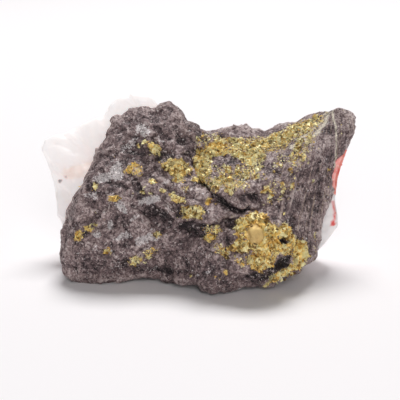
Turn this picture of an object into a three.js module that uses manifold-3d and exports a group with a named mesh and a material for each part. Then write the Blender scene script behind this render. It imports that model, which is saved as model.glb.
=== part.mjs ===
// Realgar with orpiment: a hand-sized natural specimen, one grown-together stone.
// Dark matrix rock carries raised golden orpiment crusts on its face, white calcite
// backs it, and short flat-faced realgar crystals grow where the two meet.
// Millimetres, +Z up, X along the length, the dark face towards -Y, standing on Z = 0.
import * as THREE from "three";
import { mergeVertices } from "three/addons/utils/BufferGeometryUtils.js";
import Module from "manifold-3d";

// ---- driving dimensions ----
const LEAN = THREE.MathUtils.degToRad(16); // the dark face leans back by this much
const SEAT = 14.6; // height of the face frame's origin over the floor
const SHIFT_X = -0.4173; // moves the finished stone so that its box is centred on X
const SHIFT_Y = -0.3971; // and on Y
const ROCK_CENTRE = [1, -1]; // middle of each rim in the face frame
const CALCITE_CENTRE = [-1, 0];
const ROCK_BOX = [31, 19, 12]; // half sizes of the box whose cells are pushed out to the surface
const ROCK_CELLS = [40, 26, 8];
const CALCITE_BOX = [30, 15, 6];
const CALCITE_CELLS = [25, 15, 4];
const PLATE = 0.8; // the cells start from a plate this much of the rim's size

// Rim of the dark rock in the face frame (u right, w up the face), walked clockwise.
const ROCK_RIM = [
  [-26.7, -14.3], [-27.6, -10.8], [-27.6, -8.5], [-27.1, -5.1], [-26.3, -1.8], [-24.8, 1.8],
  [-21.9, 6.2], [-20.5, 10.2], [-18.8, 12.8], [-17.4, 16.2], [-14.4, 18.6], [-11.4, 19.1],
  [-9.0, 18.3], [-7.5, 19.5], [-6.1, 20.0], [-4.8, 18.8], [-3.2, 16.6], [-1.0, 15.2],
  [1.0, 13.7], [3.3, 14.3], [6.4, 15.2], [8.8, 15.5], [10.5, 14.6], [13.5, 14.7],
  [16.2, 15.5], [20.0, 15.8], [22.2, 17.5], [24.8, 19.2], [28.0, 20.1], [30.2, 19.7],
  [31.8, 18.0], [32.1, 15.8], [30.9, 12.7], [29.9, 10.3], [28.0, 8.1], [26.6, 5.4],
  [26.3, 2.8], [26.7, 1.0], [25.4, -2.2], [24.2, -5.6], [23.5, -9.5], [22.2, -11.9],
  [19.5, -13.8], [15.8, -15.4], [12.0, -16.8], [8.4, -16.9], [4.2, -17.8], [1.5, -16.9],
  [-0.8, -15.7], [-5.9, -16.2], [-9.8, -15.5], [-13.8, -15.6], [-18.9, -16.7], [-23.2, -16.7],
  [-25.7, -15.9],
];
// Rim of the white calcite behind it.
const CALCITE_RIM = [
  [-32.2, 10.4], [-31.6, 12.1], [-29.1, 12.9], [-26.4, 14.5], [-23.7, 16.1], [-19.9, 17.1],
  [-18.2, 19.5], [-16.6, 20.2], [-13.2, 20.0], [-9.9, 21.8], [-8.7, 19.8], [-7.2, 16.1],
  [-2.1, 12.4], [4.1, 11.1], [12.3, 11.1], [20.5, 10.7], [26.6, 10.6], [29.9, 10.6],
  [28.5, 7.0], [27.7, 4.5], [27.3, 1.8], [27.1, 0.0], [27.2, -2.7], [27.6, -5.3],
  [26.6, -6.6], [25.2, -8.4], [24.0, -10.2], [21.1, -12.7], [17.4, -14.2], [-18.6, -14.9],
  [-23.9, -11.4], [-27.8, -7.3], [-29.1, -3.7], [-29.7, 1.5], [-31.0, 6.2],
];

// Paths on the dark face: a step with a hollow under it, an open crack, and raised ribs.
const STEP = [[-10.4, 1.6], [-8.0, -1.4], [-4.4, -4.0], [0.0, -4.6], [5.6, -3.4]];
const CRACK = [[-1.0, 7.0], [0.6, 3.4], [2.4, 1.4], [4.8, -0.6], [8.0, -2.2], [10.0, -1.4]];
const RIB_TOP = [[28.0, 17.6], [25.0, 14.4], [20.0, 11.6], [12.4, 7.0]];
const RIB_SIDE = [[27.6, 17.0], [26.6, 14.0], [26.6, 7.0], [27.0, 5.0]];
const SPINE = [[-11.4, 15.0], [-16.4, 12.0], [-20.6, 6.0], [-24.0, 2.0]];
const TIP = [29.6, 19.0]; // the flutes of the right flank fan out from here

// Orpiment crusts: centre u, centre w, half length, half width, turn in degrees, thickness.
const CRUSTS = [
  [14.2, -9.0, 7.6, 5.4, -38, 1.5],
  [9.8, -5.8, 4.4, 4.0, 0, 1.3],
  [19.6, -11.0, 3.0, 5.0, 20, 1.1],
  [15.0, -14.8, 4.6, 1.5, 24, 0.8],
  [3.0, -7.6, 2.6, 2.6, 40, 0.8],
  [5.6, -10.0, 2.0, 1.6, -30, 0.6],
  [6.0, 10.4, 7.4, 2.2, 2, 0.8],
  [15.2, 13.2, 5.6, 2.0, 22, 0.6],
  [1.6, 6.6, 1.8, 3.6, 8, 0.6],
  [-4.6, 6.2, 3.0, 1.7, -12, 0.7],
  [-9.8, 10.2, 1.3, 2.2, 35, 0.7],
  [-13.0, 6.0, 1.8, 1.3, 0, 0.4],
  [-1.4, -1.6, 3.0, 1.8, 8, 0.7],
  [-10.0, -10.8, 3.0, 1.4, 10, 0.5],
  [-17.4, 0.2, 1.4, 0.9, 0, 0.5],
  [-24.8, -6.8, 1.1, 1.0, 0, 0.4],
];

// ---- small mathematics ----
const clamp = (x, a, b) => Math.min(Math.max(x, a), b);
const smooth = (x, a, b) => {
  const t = clamp((x - a) / (b - a), 0, 1);
  return t * t * (3 - 2 * t);
};
// Smaller and larger of two numbers with a rounded join of width k.
const smin = (a, b, k) => {
  const h = clamp(0.5 + (0.5 * (b - a)) / k, 0, 1);
  return b + (a - b) * h - k * h * (1 - h);
};
const smax = (a, b, k) => -smin(-a, -b, k);

// A repeatable number from 0 to 1 for each whole-number cell.
function cellHash(i, j, k, seed) {
  let h =
    Math.imul(i, 0x8da6b343) ^
    Math.imul(j, 0xd8163841) ^
    Math.imul(k, 0xcb1ab31f) ^
    Math.imul(seed, 0x9e3779b9);
  h ^= h >>> 13;
  h = Math.imul(h, 0x85ebca6b);
  h ^= h >>> 16;
  h = Math.imul(h, 0xc2b2ae35);
  h ^= h >>> 15;
  return (h >>> 0) / 4294967296;
}

// Smooth random field, -1 to 1, whose lumps are about `size` across.
function valueNoise(x, y, z, size, seed) {
  const p = [x / size, y / size, z / size];
  const c = p.map(Math.floor);
  const f = p.map((v, n) => {
    const t = v - c[n];
    return t * t * t * (t * (t * 6 - 15) + 10);
  });
  let total = 0;
  for (let n = 0; n < 8; n++) {
    const a = n & 1, b = (n >> 1) & 1, d = n >> 2;
    const share =
      (a ? f[0] : 1 - f[0]) * (b ? f[1] : 1 - f[1]) * (d ? f[2] : 1 - f[2]);
    total += share * cellHash(c[0] + a, c[1] + b, c[2] + d, seed);
  }
  return 2 * total - 1;
}

// Broken-facet relief: a point takes the tilted plane of its nearest scattered seed, and
// a narrow bevel joins it to the plane of the second nearest.
function chips(x, y, z, size, seed, bevel = 0.22) {
  x /= size;
  y /= size;
  z /= size;
  const i = Math.floor(x), j = Math.floor(y), k = Math.floor(z);
  let near = Infinity, next = Infinity, nearValue = 0, nextValue = 0;
  for (let n = 0; n < 27; n++) {
    const a = i + (n % 3) - 1, b = j + (Math.floor(n / 3) % 3) - 1, c = k + Math.floor(n / 9) - 1;
    const dx = x - a - cellHash(a, b, c, seed);
    const dy = y - b - cellHash(a, b, c, seed + 1);
    const dz = z - c - cellHash(a, b, c, seed + 2);
    const r = Math.hypot(dx, dy, dz);
    if (r >= next) continue;
    const value =
      (cellHash(a, b, c, seed + 3) * 2 - 1) * dx +
      (cellHash(a, b, c, seed + 4) * 2 - 1) * dy +
      (cellHash(a, b, c, seed + 5) * 2 - 1) * dz;
    if (r < near) {
      [next, nextValue] = [near, nearValue];
      [near, nearValue] = [r, value];
    } else [next, nextValue] = [r, value];
  }
  return nearValue + (nextValue - nearValue) * 0.5 * (1 - smooth(next - near, 0, bevel));
}

// Distance to a closed rim, negative inside.
function rimDistance(u, w, rim) {
  let best = Infinity, inside = false;
  for (let n = 0; n < rim.length; n++) {
    const [ax, ay] = rim[n], [bx, by] = rim[(n + 1) % rim.length];
    const ex = bx - ax, ey = by - ay;
    const t = clamp(((u - ax) * ex + (w - ay) * ey) / (ex * ex + ey * ey), 0, 1);
    best = Math.min(best, Math.hypot(u - ax - t * ex, w - ay - t * ey));
    if (ay > w !== by > w && u < ax + ((w - ay) * ex) / ey) inside = !inside;
  }
  return inside ? -best : best;
}

// Distance to an open path, positive on its left, and how far past its ends a point lies.
function pathDistance(u, w, path) {
  let best = Infinity, signed = 0, past = 0;
  for (let n = 0; n + 1 < path.length; n++) {
    const [ax, ay] = path[n], [bx, by] = path[n + 1];
    const ex = bx - ax, ey = by - ay, length = Math.hypot(ex, ey);
    const t = ((u - ax) * ex + (w - ay) * ey) / length;
    const tc = clamp(t, 0, length);
    const dist = Math.hypot(u - ax - (tc * ex) / length, w - ay - (tc * ey) / length);
    if (dist >= best) continue;
    best = dist;
    signed = ex * (w - ay) - ey * (u - ax) >= 0 ? dist : -dist;
    past = Math.abs(t - tc);
  }
  return [signed, past];
}

// A rounded mound, a one-sided step along a path, and a ridge or groove along a path.
function hill(u, w, cu, cw, ru, rw, turn = 0) {
  const a = THREE.MathUtils.degToRad(turn), c = Math.cos(a), s = Math.sin(a);
  const x = ((u - cu) * c + (w - cw) * s) / ru, y = (-(u - cu) * s + (w - cw) * c) / rw;
  return Math.exp(-x * x - y * y);
}
function ledge(u, w, path, height, fall, soft) {
  const [s, past] = pathDistance(u, w, path);
  return (
    height * smooth(s, -soft, soft) * Math.exp(-Math.max(s, 0) / fall) * Math.exp(-((past / 3) ** 2))
  );
}
function crease(u, w, path, height, half) {
  const [s] = pathDistance(u, w, path);
  return height * Math.exp(-((s / half) ** 2));
}

// ---- the dark rock ----
// How far out of the face the rim itself runs.
const rimDepth = (u, w) =>
  1 - 0.055 * u - 0.12 * w + 8 * hill(u, w, 7, -18, 11, 11) - 5.5 * hill(u, w, 10, 17, 13, 13);

// Height of the orpiment: each crust is a flat-topped mound with a wandering edge.
function crustThickness(u, w) {
  const wu = u + 0.8 * valueNoise(u, w, 0, 2.6, 71);
  const ww = w + 0.8 * valueNoise(u, w, 0, 2.6, 72);
  let best = 0;
  for (const [cu, cw, ru, rw, turn, high] of CRUSTS) {
    const a = THREE.MathUtils.degToRad(turn), c = Math.cos(a), s = Math.sin(a);
    const x = ((wu - cu) * c + (ww - cw) * s) / ru, y = (-(wu - cu) * s + (ww - cw) * c) / rw;
    best = Math.max(best, high * (1 - smooth(Math.hypot(x, y), 0.72, 1.08)));
  }
  return best;
}

// The face: two blocks of broken planes that meet in a gully, with the named relief on them.
function face(u, w) {
  let left = 9.5 + 0.05 * (u + 20) - 0.06 * (w + 8);
  left = smin(left, 8.5 - 0.6 * (w - 4) - 0.03 * (u + 14), 1.0); // up to the left peak
  left = smin(left, 8.5 + 0.55 * (w + 10), 1.5); // down to the left foot
  left = smin(left, 8.5 + 0.45 * (u + 22) + 0.25 * (w + 10), 1.0); // round the left flank
  left = smin(left, 0.5 - 0.6 * u - 0.45 * (w - 12), 1.0); // into the gully
  let right = 11 - 1.35 * (w - 3) + 0.2 * (u - 6); // the golden shelf on top
  right = smin(right, 7.4 - 0.95 * (u - 20) + 0.1 * w, 0.8); // the fluted right flank
  right = smin(right, 13.5 - 0.12 * (w + 8) - 0.1 * (u - 8), 1.2); // the front
  right = smin(right, 12 + 0.9 * (w + 14.5) - 0.35 * (u - 10), 1.2); // under the nodule
  right = smin(right, 12.5 + 0.75 * (u - 1), 1.5); // into the gully
  let h = smax(left, right, 1.2);
  h += 1.9 * hill(u, w, 13.6, -8.6, 8, 6.5, -20); // swell under the nodule
  h += ledge(u, w, STEP, 1.8, 5, 0.5);
  h += ledge(u, w, CRACK, 1.1, 5, 0.4) + crease(u, w, CRACK, -1.3, 0.9);
  h += crease(u, w, RIB_TOP, 0.8, 0.9) + crease(u, w, RIB_SIDE, 0.8, 0.8);
  h += crease(u, w, SPINE, 0.6, 1.3);
  h -= 1.2 * hill(u, w, -8.6, -3.2, 2.6, 3.4, -35); // hollow under the step
  h -= 1.6 * hill(u, w, 18, -8, 1.7, 1.3, 20) + 1.3 * hill(u, w, 15.2, -12.6, 2.6, 1.2, 25); // pits
  h += hill(u, w, 10.6, -5.6, 2.2, 2.2); // smooth knob of the nodule
  const turn = Math.atan2(w - TIP[1], u - TIP[0]);
  const flute = Math.sin(turn * 22 + 1.7 * Math.sin(turn * 9));
  return h + 0.28 * flute * smooth(u, 13, 19) * smooth(12.5 - w + 0.55 * (u - 20), 0, 3);
}

function rockField([u, w, d]) {
  const t = Math.abs(d - rimDepth(u, w));
  const sway = 0.28 * Math.min(t, 6);
  const wu = u + sway * valueNoise(u, w, d, 7, 31);
  const ww = w + sway * valueNoise(u, w, d, 7, 32);
  let f = rimDistance(wu, ww, ROCK_RIM) + 0.2 * t + 0.02 * t * t;
  f = smax(f, (d - face(u, w)) * 0.75, 1.0);
  f = smax(f, -7.2 + 0.05 * u - d, 1.5);
  f -= 0.8 * crustThickness(u, w) * smooth(d, -1, 2);
  const relief =
    0.75 * valueNoise(u, w, d, 8, 11) +
    0.45 * valueNoise(u, w, d, 4, 12) +
    0.22 * valueNoise(u, w, d, 2.1, 13) +
    0.75 * chips(u, w, d, 4.6, 21);
  return f - relief * (0.35 + 0.65 * smooth(t, 0, 2.5));
}

// ---- the calcite ----
// A slab whose edges are broken back along flat planes, with cleavage stairs over it.
function calciteField([u, w, d]) {
  const t = Math.abs(d - (-7.5 + 0.07 * u));
  let f = rimDistance(u, w, CALCITE_RIM) + 0.07 * t - 0.1;
  f = Math.max(f, (d - (-3.6 + 0.07 * u - 0.12 * (w - 4))) * 0.98); // front, against the rock
  f = Math.max(f, (-15.5 + 0.09 * u - d) * 0.99); // back
  f = Math.max(f, 0.95 * (-14.5 - 0.3 * (w + 8) - d)); // lower back
  f = Math.max(f, 0.8 * (-12.5 - d) + 0.6 * (-25 - u)); // left back corner
  f = Math.max(f, 0.78 * (-12.5 - d) + 0.62 * (w - 16.5)); // upper back
  f = Math.max(f, 0.75 * (-10 - d) + 0.66 * (u - 23.5)); // right back corner
  f = Math.max(f, 0.8 * (d + 4.2) + 0.45 * (w - 13.5) - 0.4 * (u + 26)); // upper front corner
  const raw = 2.5 * valueNoise(u + 0.5 * w, w, d * 0.6, 8, 41);
  const stair = (Math.floor(raw) + smooth(raw - Math.floor(raw), 0.38, 0.62)) / 2.5;
  const relief = 1.3 * stair + 0.9 * chips(u, w, d, 8.5, 51) + 0.35 * chips(u, w, d, 3.6, 61);
  return f - relief * (0.3 + 0.7 * smooth(t, 0.5, 3.5));
}

// ---- surfaces from fields ----
const toStone = ([u, w, d]) => [
  u + SHIFT_X,
  w * Math.sin(LEAN) - d * Math.cos(LEAN) + SHIFT_Y,
  w * Math.cos(LEAN) + d * Math.sin(LEAN) + SEAT,
];

// How far a ray from the centre runs to the rim's outermost crossing.
function rimReach(rim, [cu, cw], dx, dy) {
  let best = 0;
  for (let n = 0; n < rim.length; n++) {
    const [ax, ay] = rim[n], [bx, by] = rim[(n + 1) % rim.length];
    const ex = bx - ax, ey = by - ay, det = dx * ey - dy * ex;
    if (Math.abs(det) < 1e-12) continue;
    const r = ((ax - cu) * ey - (ay - cw) * ex) / det;
    const t = ((ax - cu) * dy - (ay - cw) * dx) / det;
    if (t >= -1e-9 && t <= 1 + 1e-9 && r > best) best = r;
  }
  return best;
}

// The outermost crossing of a field on the path at(0) .. at(top), found from outside inwards.
function cast(field, at, top, steps = 40) {
  let n = steps;
  while (n > 1 && field(at((top * n) / steps)) >= 0) n--;
  let inner = (top * n) / steps, outer = (top * (n + 1)) / steps;
  for (let k = 0; k < 14; k++) {
    const mid = (inner + outer) / 2;
    if (field(at(mid)) < 0) inner = mid;
    else outer = mid;
  }
  return at((inner + outer) / 2);
}

// A box of cells whose corners are pushed out to the field's surface. Each corner starts on a
// plate with the rim's outline inside the body, and moves outwards and off the plate at once.
function skin(field, rim, centre, plateDepth, box, cells) {
  const source = new THREE.BoxGeometry(
    2 * box[0], 2 * box[1], 2 * box[2], cells[0], cells[1], cells[2],
  );
  source.deleteAttribute("normal");
  source.deleteAttribute("uv");
  const geometry = mergeVertices(source, 1e-3);
  const position = geometry.attributes.position;
  for (let n = 0; n < position.count; n++) {
    const a = position.getX(n), b = position.getY(n), c = position.getZ(n);
    const share = Math.max(Math.abs(a) / box[0], Math.abs(b) / box[1]);
    const angle = Math.atan2(b, a), dx = Math.cos(angle), dy = Math.sin(angle);
    const reach = share * rimReach(rim, centre, dx, dy);
    const depth = plateDepth(centre[0] + dx * reach, centre[1] + dy * reach);
    const at = (s) => {
      const k = (PLATE + (1 - PLATE) * s) * reach;
      return [centre[0] + dx * k, centre[1] + dy * k, depth + s * c];
    };
    position.setXYZ(n, ...toStone(cast(field, at, 1.9)));
  }
  return geometry;
}

// ---- the realgar crystals ----
// Short six-sided prisms with bevelled ends, standing on the calcite's right end and back.
// A crystal: an axis, a radius, a height and a turn about the axis, at a point of the face frame.
function crystal(base, axis, radius, height, spin) {
  const profile = [
    [0, 0], [radius * 0.92, 0], [radius, height], [radius * 0.45, height * 1.35], [0, height * 1.35],
  ].map(([x, y]) => new THREE.Vector2(x, y));
  const prism = new THREE.LatheGeometry(profile, 6);
  prism.rotateY(spin);
  prism.scale(1, 1, 0.72);
  prism.applyQuaternion(
    new THREE.Quaternion().setFromUnitVectors(new THREE.Vector3(0, 1, 0), axis),
  );
  return prism.translate(...base);
}

const EDGE_CRYSTALS = 18; // along the right end, between rock and calcite
const BACK_CRYSTALS = 18; // on the calcite's back, near that end
function crystals() {
  const list = [];
  for (let n = 0; n < EDGE_CRYSTALS + BACK_CRYSTALS; n++) {
    const r = (m) => cellHash(n, m, 7, 91);
    const onEdge = n < EDGE_CRYSTALS;
    const w = onEdge ? 0.5 + 9 * r(2) : -6 + 14 * r(2);
    const from = onEdge ? [40, w, -3.6 - 6.5 * r(3)] : [11 + 15 * r(1), w, -30];
    const to = onEdge ? [10, w, from[2]] : [from[0], w, -9];
    const at = (s) => to.map((v, m) => v + (from[m] - v) * s);
    const seat = cast(calciteField, at, 1, 80);
    const out = new THREE.Vector3(...(onEdge ? [1, 0.1, -0.3 * r(4)] : [0.35 * r(4), 0.2, -1]));
    out.add(new THREE.Vector3(r(5) - 0.5, r(6) - 0.5, r(7) - 0.5).multiplyScalar(0.9)).normalize();
    const radius = (onEdge ? 0.6 : 0.9) + 0.6 * r(8);
    const height = radius * (onEdge ? 0.7 + 0.5 * r(9) : 1.2 + 0.9 * r(9));
    seat.forEach((v, m) => (seat[m] = v - 0.4 * radius * out.getComponent(m)));
    list.push(crystal(seat, out, radius, height, 3 * r(10)));
  }
  for (const prism of list) {
    const position = prism.attributes.position;
    for (let n = 0; n < position.count; n++)
      position.setXYZ(
        n, ...toStone([position.getX(n), position.getY(n), position.getZ(n)]),
      );
  }
  return list;
}

// ---- joining ----
const wasm = await Module();
wasm.setup();

function solid(geometry, weld = 1e-4) {
  const bare = geometry.clone();
  bare.deleteAttribute("normal");
  bare.deleteAttribute("uv");
  const merged = mergeVertices(bare, weld);
  return new wasm.Manifold(
    new wasm.Mesh({
      numProp: 3,
      vertProperties: merged.attributes.position.array,
      triVerts: new Uint32Array(merged.index.array),
    }),
  );
}

let stone = solid(skin(rockField, ROCK_RIM, ROCK_CENTRE, rimDepth, ROCK_BOX, ROCK_CELLS));
const calcitePlate = (u) => -9 + 0.07 * u;
stone = stone.add(
  solid(
    skin(calciteField, CALCITE_RIM, CALCITE_CENTRE, calcitePlate, CALCITE_BOX, CALCITE_CELLS),
  ),
);
for (const g of crystals()) stone = stone.add(solid(g));
// The stone stands on three worn feet: everything under the floor plane is taken off flat.
const floor = new THREE.BoxGeometry(120, 120, 20).translate(0, 0, -10);
stone = stone.subtract(solid(floor));


function surface(made) {
  const mesh = made.getMesh();
  return new THREE.BufferGeometry()
    .setAttribute("position", new THREE.BufferAttribute(new Float32Array(mesh.vertProperties), 3))
    .setIndex(new THREE.BufferAttribute(new Uint32Array(mesh.triVerts), 1));
}

// Pockets sealed between rock and calcite are solid stone, and loose crumbs are dropped.
// Corners closer than WELD are drawn together first, so that no sliver is left by the joins.
const WELD = 2e-3;
const outerBody = (made) =>
  made.decompose().reduce((a, b) => (b.volume() > a.volume() ? b : a));
for (let pass = 0; pass < 2; pass++)
  stone = outerBody(solid(surface(outerBody(stone)), WELD));

const geometry = surface(stone);
geometry.computeVertexNormals();

const specimen = new THREE.Mesh(
  geometry,
  new THREE.MeshStandardMaterial({ color: 0x6d615f, roughness: 0.85, metalness: 0 }),
);
specimen.name = "specimen";

const root = new THREE.Group();
root.add(specimen);
export default root;
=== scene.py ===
"""Realgar with orpiment: the finished look of the specimen.

Every surface is worked out in the face frame, in millimetres: u runs right, w runs up the
dark face and d comes out of it. to_stone() leans that frame back and stands it on the floor.
"""

import functools
import math

import bpy
import numpy as np
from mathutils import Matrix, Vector


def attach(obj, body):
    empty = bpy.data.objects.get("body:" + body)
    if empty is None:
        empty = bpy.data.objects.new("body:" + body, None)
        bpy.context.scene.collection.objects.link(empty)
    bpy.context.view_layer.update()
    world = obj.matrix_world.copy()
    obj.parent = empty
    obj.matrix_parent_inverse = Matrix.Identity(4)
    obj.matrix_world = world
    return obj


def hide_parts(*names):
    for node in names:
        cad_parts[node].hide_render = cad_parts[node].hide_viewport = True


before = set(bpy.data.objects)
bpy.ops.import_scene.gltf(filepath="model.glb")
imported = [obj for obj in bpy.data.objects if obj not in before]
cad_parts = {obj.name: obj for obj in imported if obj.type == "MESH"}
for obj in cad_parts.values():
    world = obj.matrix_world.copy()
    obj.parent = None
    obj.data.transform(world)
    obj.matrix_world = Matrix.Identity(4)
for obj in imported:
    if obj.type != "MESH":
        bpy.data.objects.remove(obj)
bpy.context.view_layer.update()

# ---- driving sizes, the same as the solid's ----
LEAN = math.radians(16.0)  # how far the face leans back
SEAT = 14.6  # height of the face frame's origin over the floor
SHIFT_X, SHIFT_Y = -0.4173, -0.3971  # puts the specimen over the frame's origin
ROCK_CENTRE = (1.0, -1.0)
CALCITE_CENTRE = (-1.0, 0.0)
PLATE = 0.8  # the cells of a skin start from a plate this much of the rim's size
TIP = (29.6, 19.0)  # the rock's right tip, where the fine lines start
CRUST_SWELL = 0.68  # share of a crust's height that the rock itself rises under it

# Half sizes of the boxes whose cells become the two skins, and their cells along u, w and d.
ROCK_BOX, ROCK_CELLS = (31, 19, 12), (((218, 138, 50)))
CALCITE_BOX, CALCITE_CELLS = (30, 15, 6), (((150, 88, 34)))

# Rim of the dark rock, walked clockwise.
ROCK_RIM = [
    (-26.7, -14.3), (-27.6, -10.8), (-27.6, -8.5), (-27.1, -5.1), (-26.3, -1.8), (-24.8, 1.8),
    (-21.9, 6.2), (-20.5, 10.2), (-18.8, 12.8), (-17.4, 16.2), (-14.4, 18.6), (-11.4, 19.1),
    (-9, 18.3), (-7.5, 19.5), (-6.1, 20), (-4.8, 18.8), (-3.2, 16.6), (-1, 15.2),
    (1, 13.7), (3.3, 14.3), (6.4, 15.2), (8.8, 15.5), (10.5, 14.6), (13.5, 14.7),
    (16.2, 15.5), (20, 15.8), (22.2, 17.2), (24.8, 19.0), (28, 20.9), (29.4, 20.1),
    (31.0, 18), (31.6, 15.6), (31.1, 12.9), (29.9, 10.3), (27.7, 7.9), (26.9, 5.4),
    (26.9, 2.8), (27.0, 1), (25.7, -2.2), (24.3, -5.6), (23.4, -9.5), (21.1, -12.0),
    (18.3, -13.6), (15.8, -15.4), (12, -16.8), (8.4, -16.9), (4.2, -17.8), (1.5, -16.9),
    (-0.8, -15.7), (-5.9, -16.2), (-9.8, -15.5), (-13.8, -15.6), (-18.9, -16.7), (-23.2, -16.7),
    (-25.7, -15.9),
]
# Rim of the white calcite behind it.
CALCITE_RIM = [
    (-32.2, 10.4), (-31.6, 12.1), (-29.1, 12.9), (-26.4, 14.5), (-23.7, 16.1), (-20.2, 17.4),
    (-18.4, 19.9), (-16.8, 20.9), (-13.2, 21.0), (-10.2, 21.0), (-9.2, 19.6), (-7.2, 16.1),
    (-2.1, 12.4), (4.1, 11.1), (12.3, 11.1), (20.5, 10.7), (26.6, 10.6), (29.9, 10.6),
    (28.5, 7), (27.7, 4.5), (27.3, 1.8), (27.3, 0), (27.7, -2.7), (27.8, -5.1),
    (26.6, -6.6), (25.2, -8.4), (24, -10.2), (21.1, -12.7), (17.4, -14.2), (-18.6, -14.9),
    (-23.9, -11.4), (-27.8, -7.3), (-29.1, -3.7), (-29.7, 1.5), (-31, 6.2),
]
# Planes of the face's two blocks: height, the u and w it holds at, slopes along u and w, and
# the width of the rounded join to the planes before it.
LEFT_BLOCK = [
    (9.5, -20, -8, 0.05, -0.06, 0), (8.5, -14, 4, -0.03, -0.6, 1.0), (8.5, 0, -10, 0, 0.55, 1.5),
    (8.5, -22, -10, 0.45, 0.25, 1.0), (0.5, 0, 12, -0.6, -0.45, 1.0),
]
RIGHT_BLOCK = [
    (11, 6, 3, 0.2, -1.35, 0), (7.4, 20, 0, -0.95, 0.1, 0.8), (13.5, 8, -8, -0.1, -0.12, 1.2),
    (12, 10, -14.5, -0.35, 0.9, 1.2), (12.5, 1, 0, 0.75, 0, 1.5),
]
# Mounds and hollows on it: height, centre u and w, half sizes, turn in degrees.
FACE_HILLS = [
    (1.9, 13.6, -8.6, 8, 6.5, -20), (-0.8, -8.6, -3.2, 2.6, 3.4, -35), (-1.6, 18, -8, 1.7, 1.3, 20),
    (-1.9, 15.2, -12.1, 2.9, 1.1, 36), (-1.2, 15.6, -7.8, 1.1, 0.9, 0), (1, 10.6, -5.6, 2.2, 2.2, 0),
]
# Planes that cut the calcite: slopes along u, w and d, and the offset.
CALCITE_PLANES = [
    (-0.0686, 0.1176, 0.98, 3.0576),  # front, behind the rock
    (0.0891, 0, -0.99, -15.345),  # back
    (0, -0.285, -0.95, -16.055),  # back, cut under towards the base
    (-0.60, 0, -0.80, -25.0),  # back, left end
    (0, 0.62, -0.78, -19.98),  # back, top
    (0.66, 0, -0.75, -23.01),  # back, right end
    (-0.40, 0.45, 0.80, -13.115),  # front, upper left
]
# Paths on the dark face: a step with a hollow under it, an open crack, and raised ribs.
STEP = [(-10.4, 1.6), (-8.0, -1.4), (-4.4, -4.0), (0.0, -4.6), (5.6, -3.4)]
CRACK = [(-1.0, 7.0), (0.6, 3.4), (2.4, 1.4), (4.8, -0.6), (8.0, -2.2), (9.4, -1.8)]
RIB_TOP = [(28.0, 17.6), (25.0, 14.4), (20.0, 11.6), (12.4, 7.0)]
RIB_SIDE = [(27.6, 17.0), (26.6, 14.0), (26.6, 7.0), (27.0, 5.0)]
SPINE = [(-11.4, 15.0), (-16.4, 12.0), (-20.6, 6.0), (-24.0, 2.0)]

# Orpiment crusts: centre u, centre w, half length, half width, turn in degrees, thickness.
CRUSTS = [
    (14.2, -9, 7.6, 5.4, -38, 1.5), (9.8, -5.8, 4.4, 4, 0, 1.3),
    (19.6, -11, 3, 5, 20, 1.1), (15, -14.8, 4.6, 1.5, 24, 0.8),
    (3, -7.6, 2.6, 2.6, 40, 0.8), (5.6, -10, 2, 1.6, -30, 0.6),
    (6, 10.4, 7.4, 2.2, 2, 0.8), (15.2, 13.2, 5.6, 2, 22, 0.6),
    (1.6, 6.6, 1.8, 3.6, 8, 0.6), (-4.6, 6.2, 3, 1.7, -12, 0.7),
    (-9.8, 10.2, 1.3, 2.2, 35, 0.7), (-13, 6, 1.8, 1.3, 0, 0.4),
    (-1.4, -1.6, 3, 1.8, 8, 0.7), (-10, -10.8, 3, 1.4, 10, 0.5),
    (-17.4, 0.2, 1.4, 0.9, 0, 0.5), (-24.8, -6.8, 1.1, 1, 0, 0.4),
]


# ---- small mathematics ----
def smooth(x, a, b):
    """0 below a, 1 above b, and the cubic 3t^2 - 2t^3 between them."""
    t = np.clip((x - a) / (b - a), 0.0, 1.0)
    return t * t * (3.0 - 2.0 * t)


def smin(a, b, k):
    """The smaller of a and b, with the join rounded over a width k."""
    h = np.clip(0.5 + 0.5 * (b - a) / k, 0.0, 1.0)
    return b + (a - b) * h - k * h * (1.0 - h)


def smax(a, b, k):
    """The larger of a and b, with the join rounded over a width k."""
    return -smin(-a, -b, k)


def cell_hash(i, j, k, seed):
    """A repeatable number from 0 to 1 for each whole-number cell: products mixed by shifts."""
    mask = np.uint64(0xFFFFFFFF)
    h = (i * 0x8DA6B343) ^ (j * 0xD8163841) ^ (k * 0xCB1AB31F) ^ (seed * 0x9E3779B9)
    h = (h & 0xFFFFFFFF).astype(np.uint64)
    h ^= h >> np.uint64(13)
    h = (h * np.uint64(0x85EBCA6B)) & mask
    h ^= h >> np.uint64(16)
    h = (h * np.uint64(0xC2B2AE35)) & mask
    h ^= h >> np.uint64(15)
    return h.astype(np.float64) / 4294967296.0


def value_noise(x, y, z, size, seed):
    """Smooth random field, -1 to 1: corner numbers of each cell blended by quintic weights."""
    p = [np.asarray(v, float) / size for v in (x, y, z)]
    cell = [np.floor(v) for v in p]
    part = [v - c for v, c in zip(p, cell)]
    ease = [t * t * t * (t * (t * 6.0 - 15.0) + 10.0) for t in part]
    i, j, k = (c.astype(np.int64) for c in cell)
    total = 0.0
    for n in range(8):
        a, b, c = n & 1, (n >> 1) & 1, n >> 2
        share = (
            (ease[0] if a else 1 - ease[0])
            * (ease[1] if b else 1 - ease[1])
            * (ease[2] if c else 1 - ease[2])
        )
        total = total + share * cell_hash(i + a, j + b, k + c, seed)
    return 2.0 * total - 1.0


def noises(x, y, z, *terms):
    """A sum of noise fields, each given by its depth, its size in mm and its seed."""
    total = 0.0
    for depth, size, seed in terms:
        total = total + depth * value_noise(x, y, z, size, seed)
    return total


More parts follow.
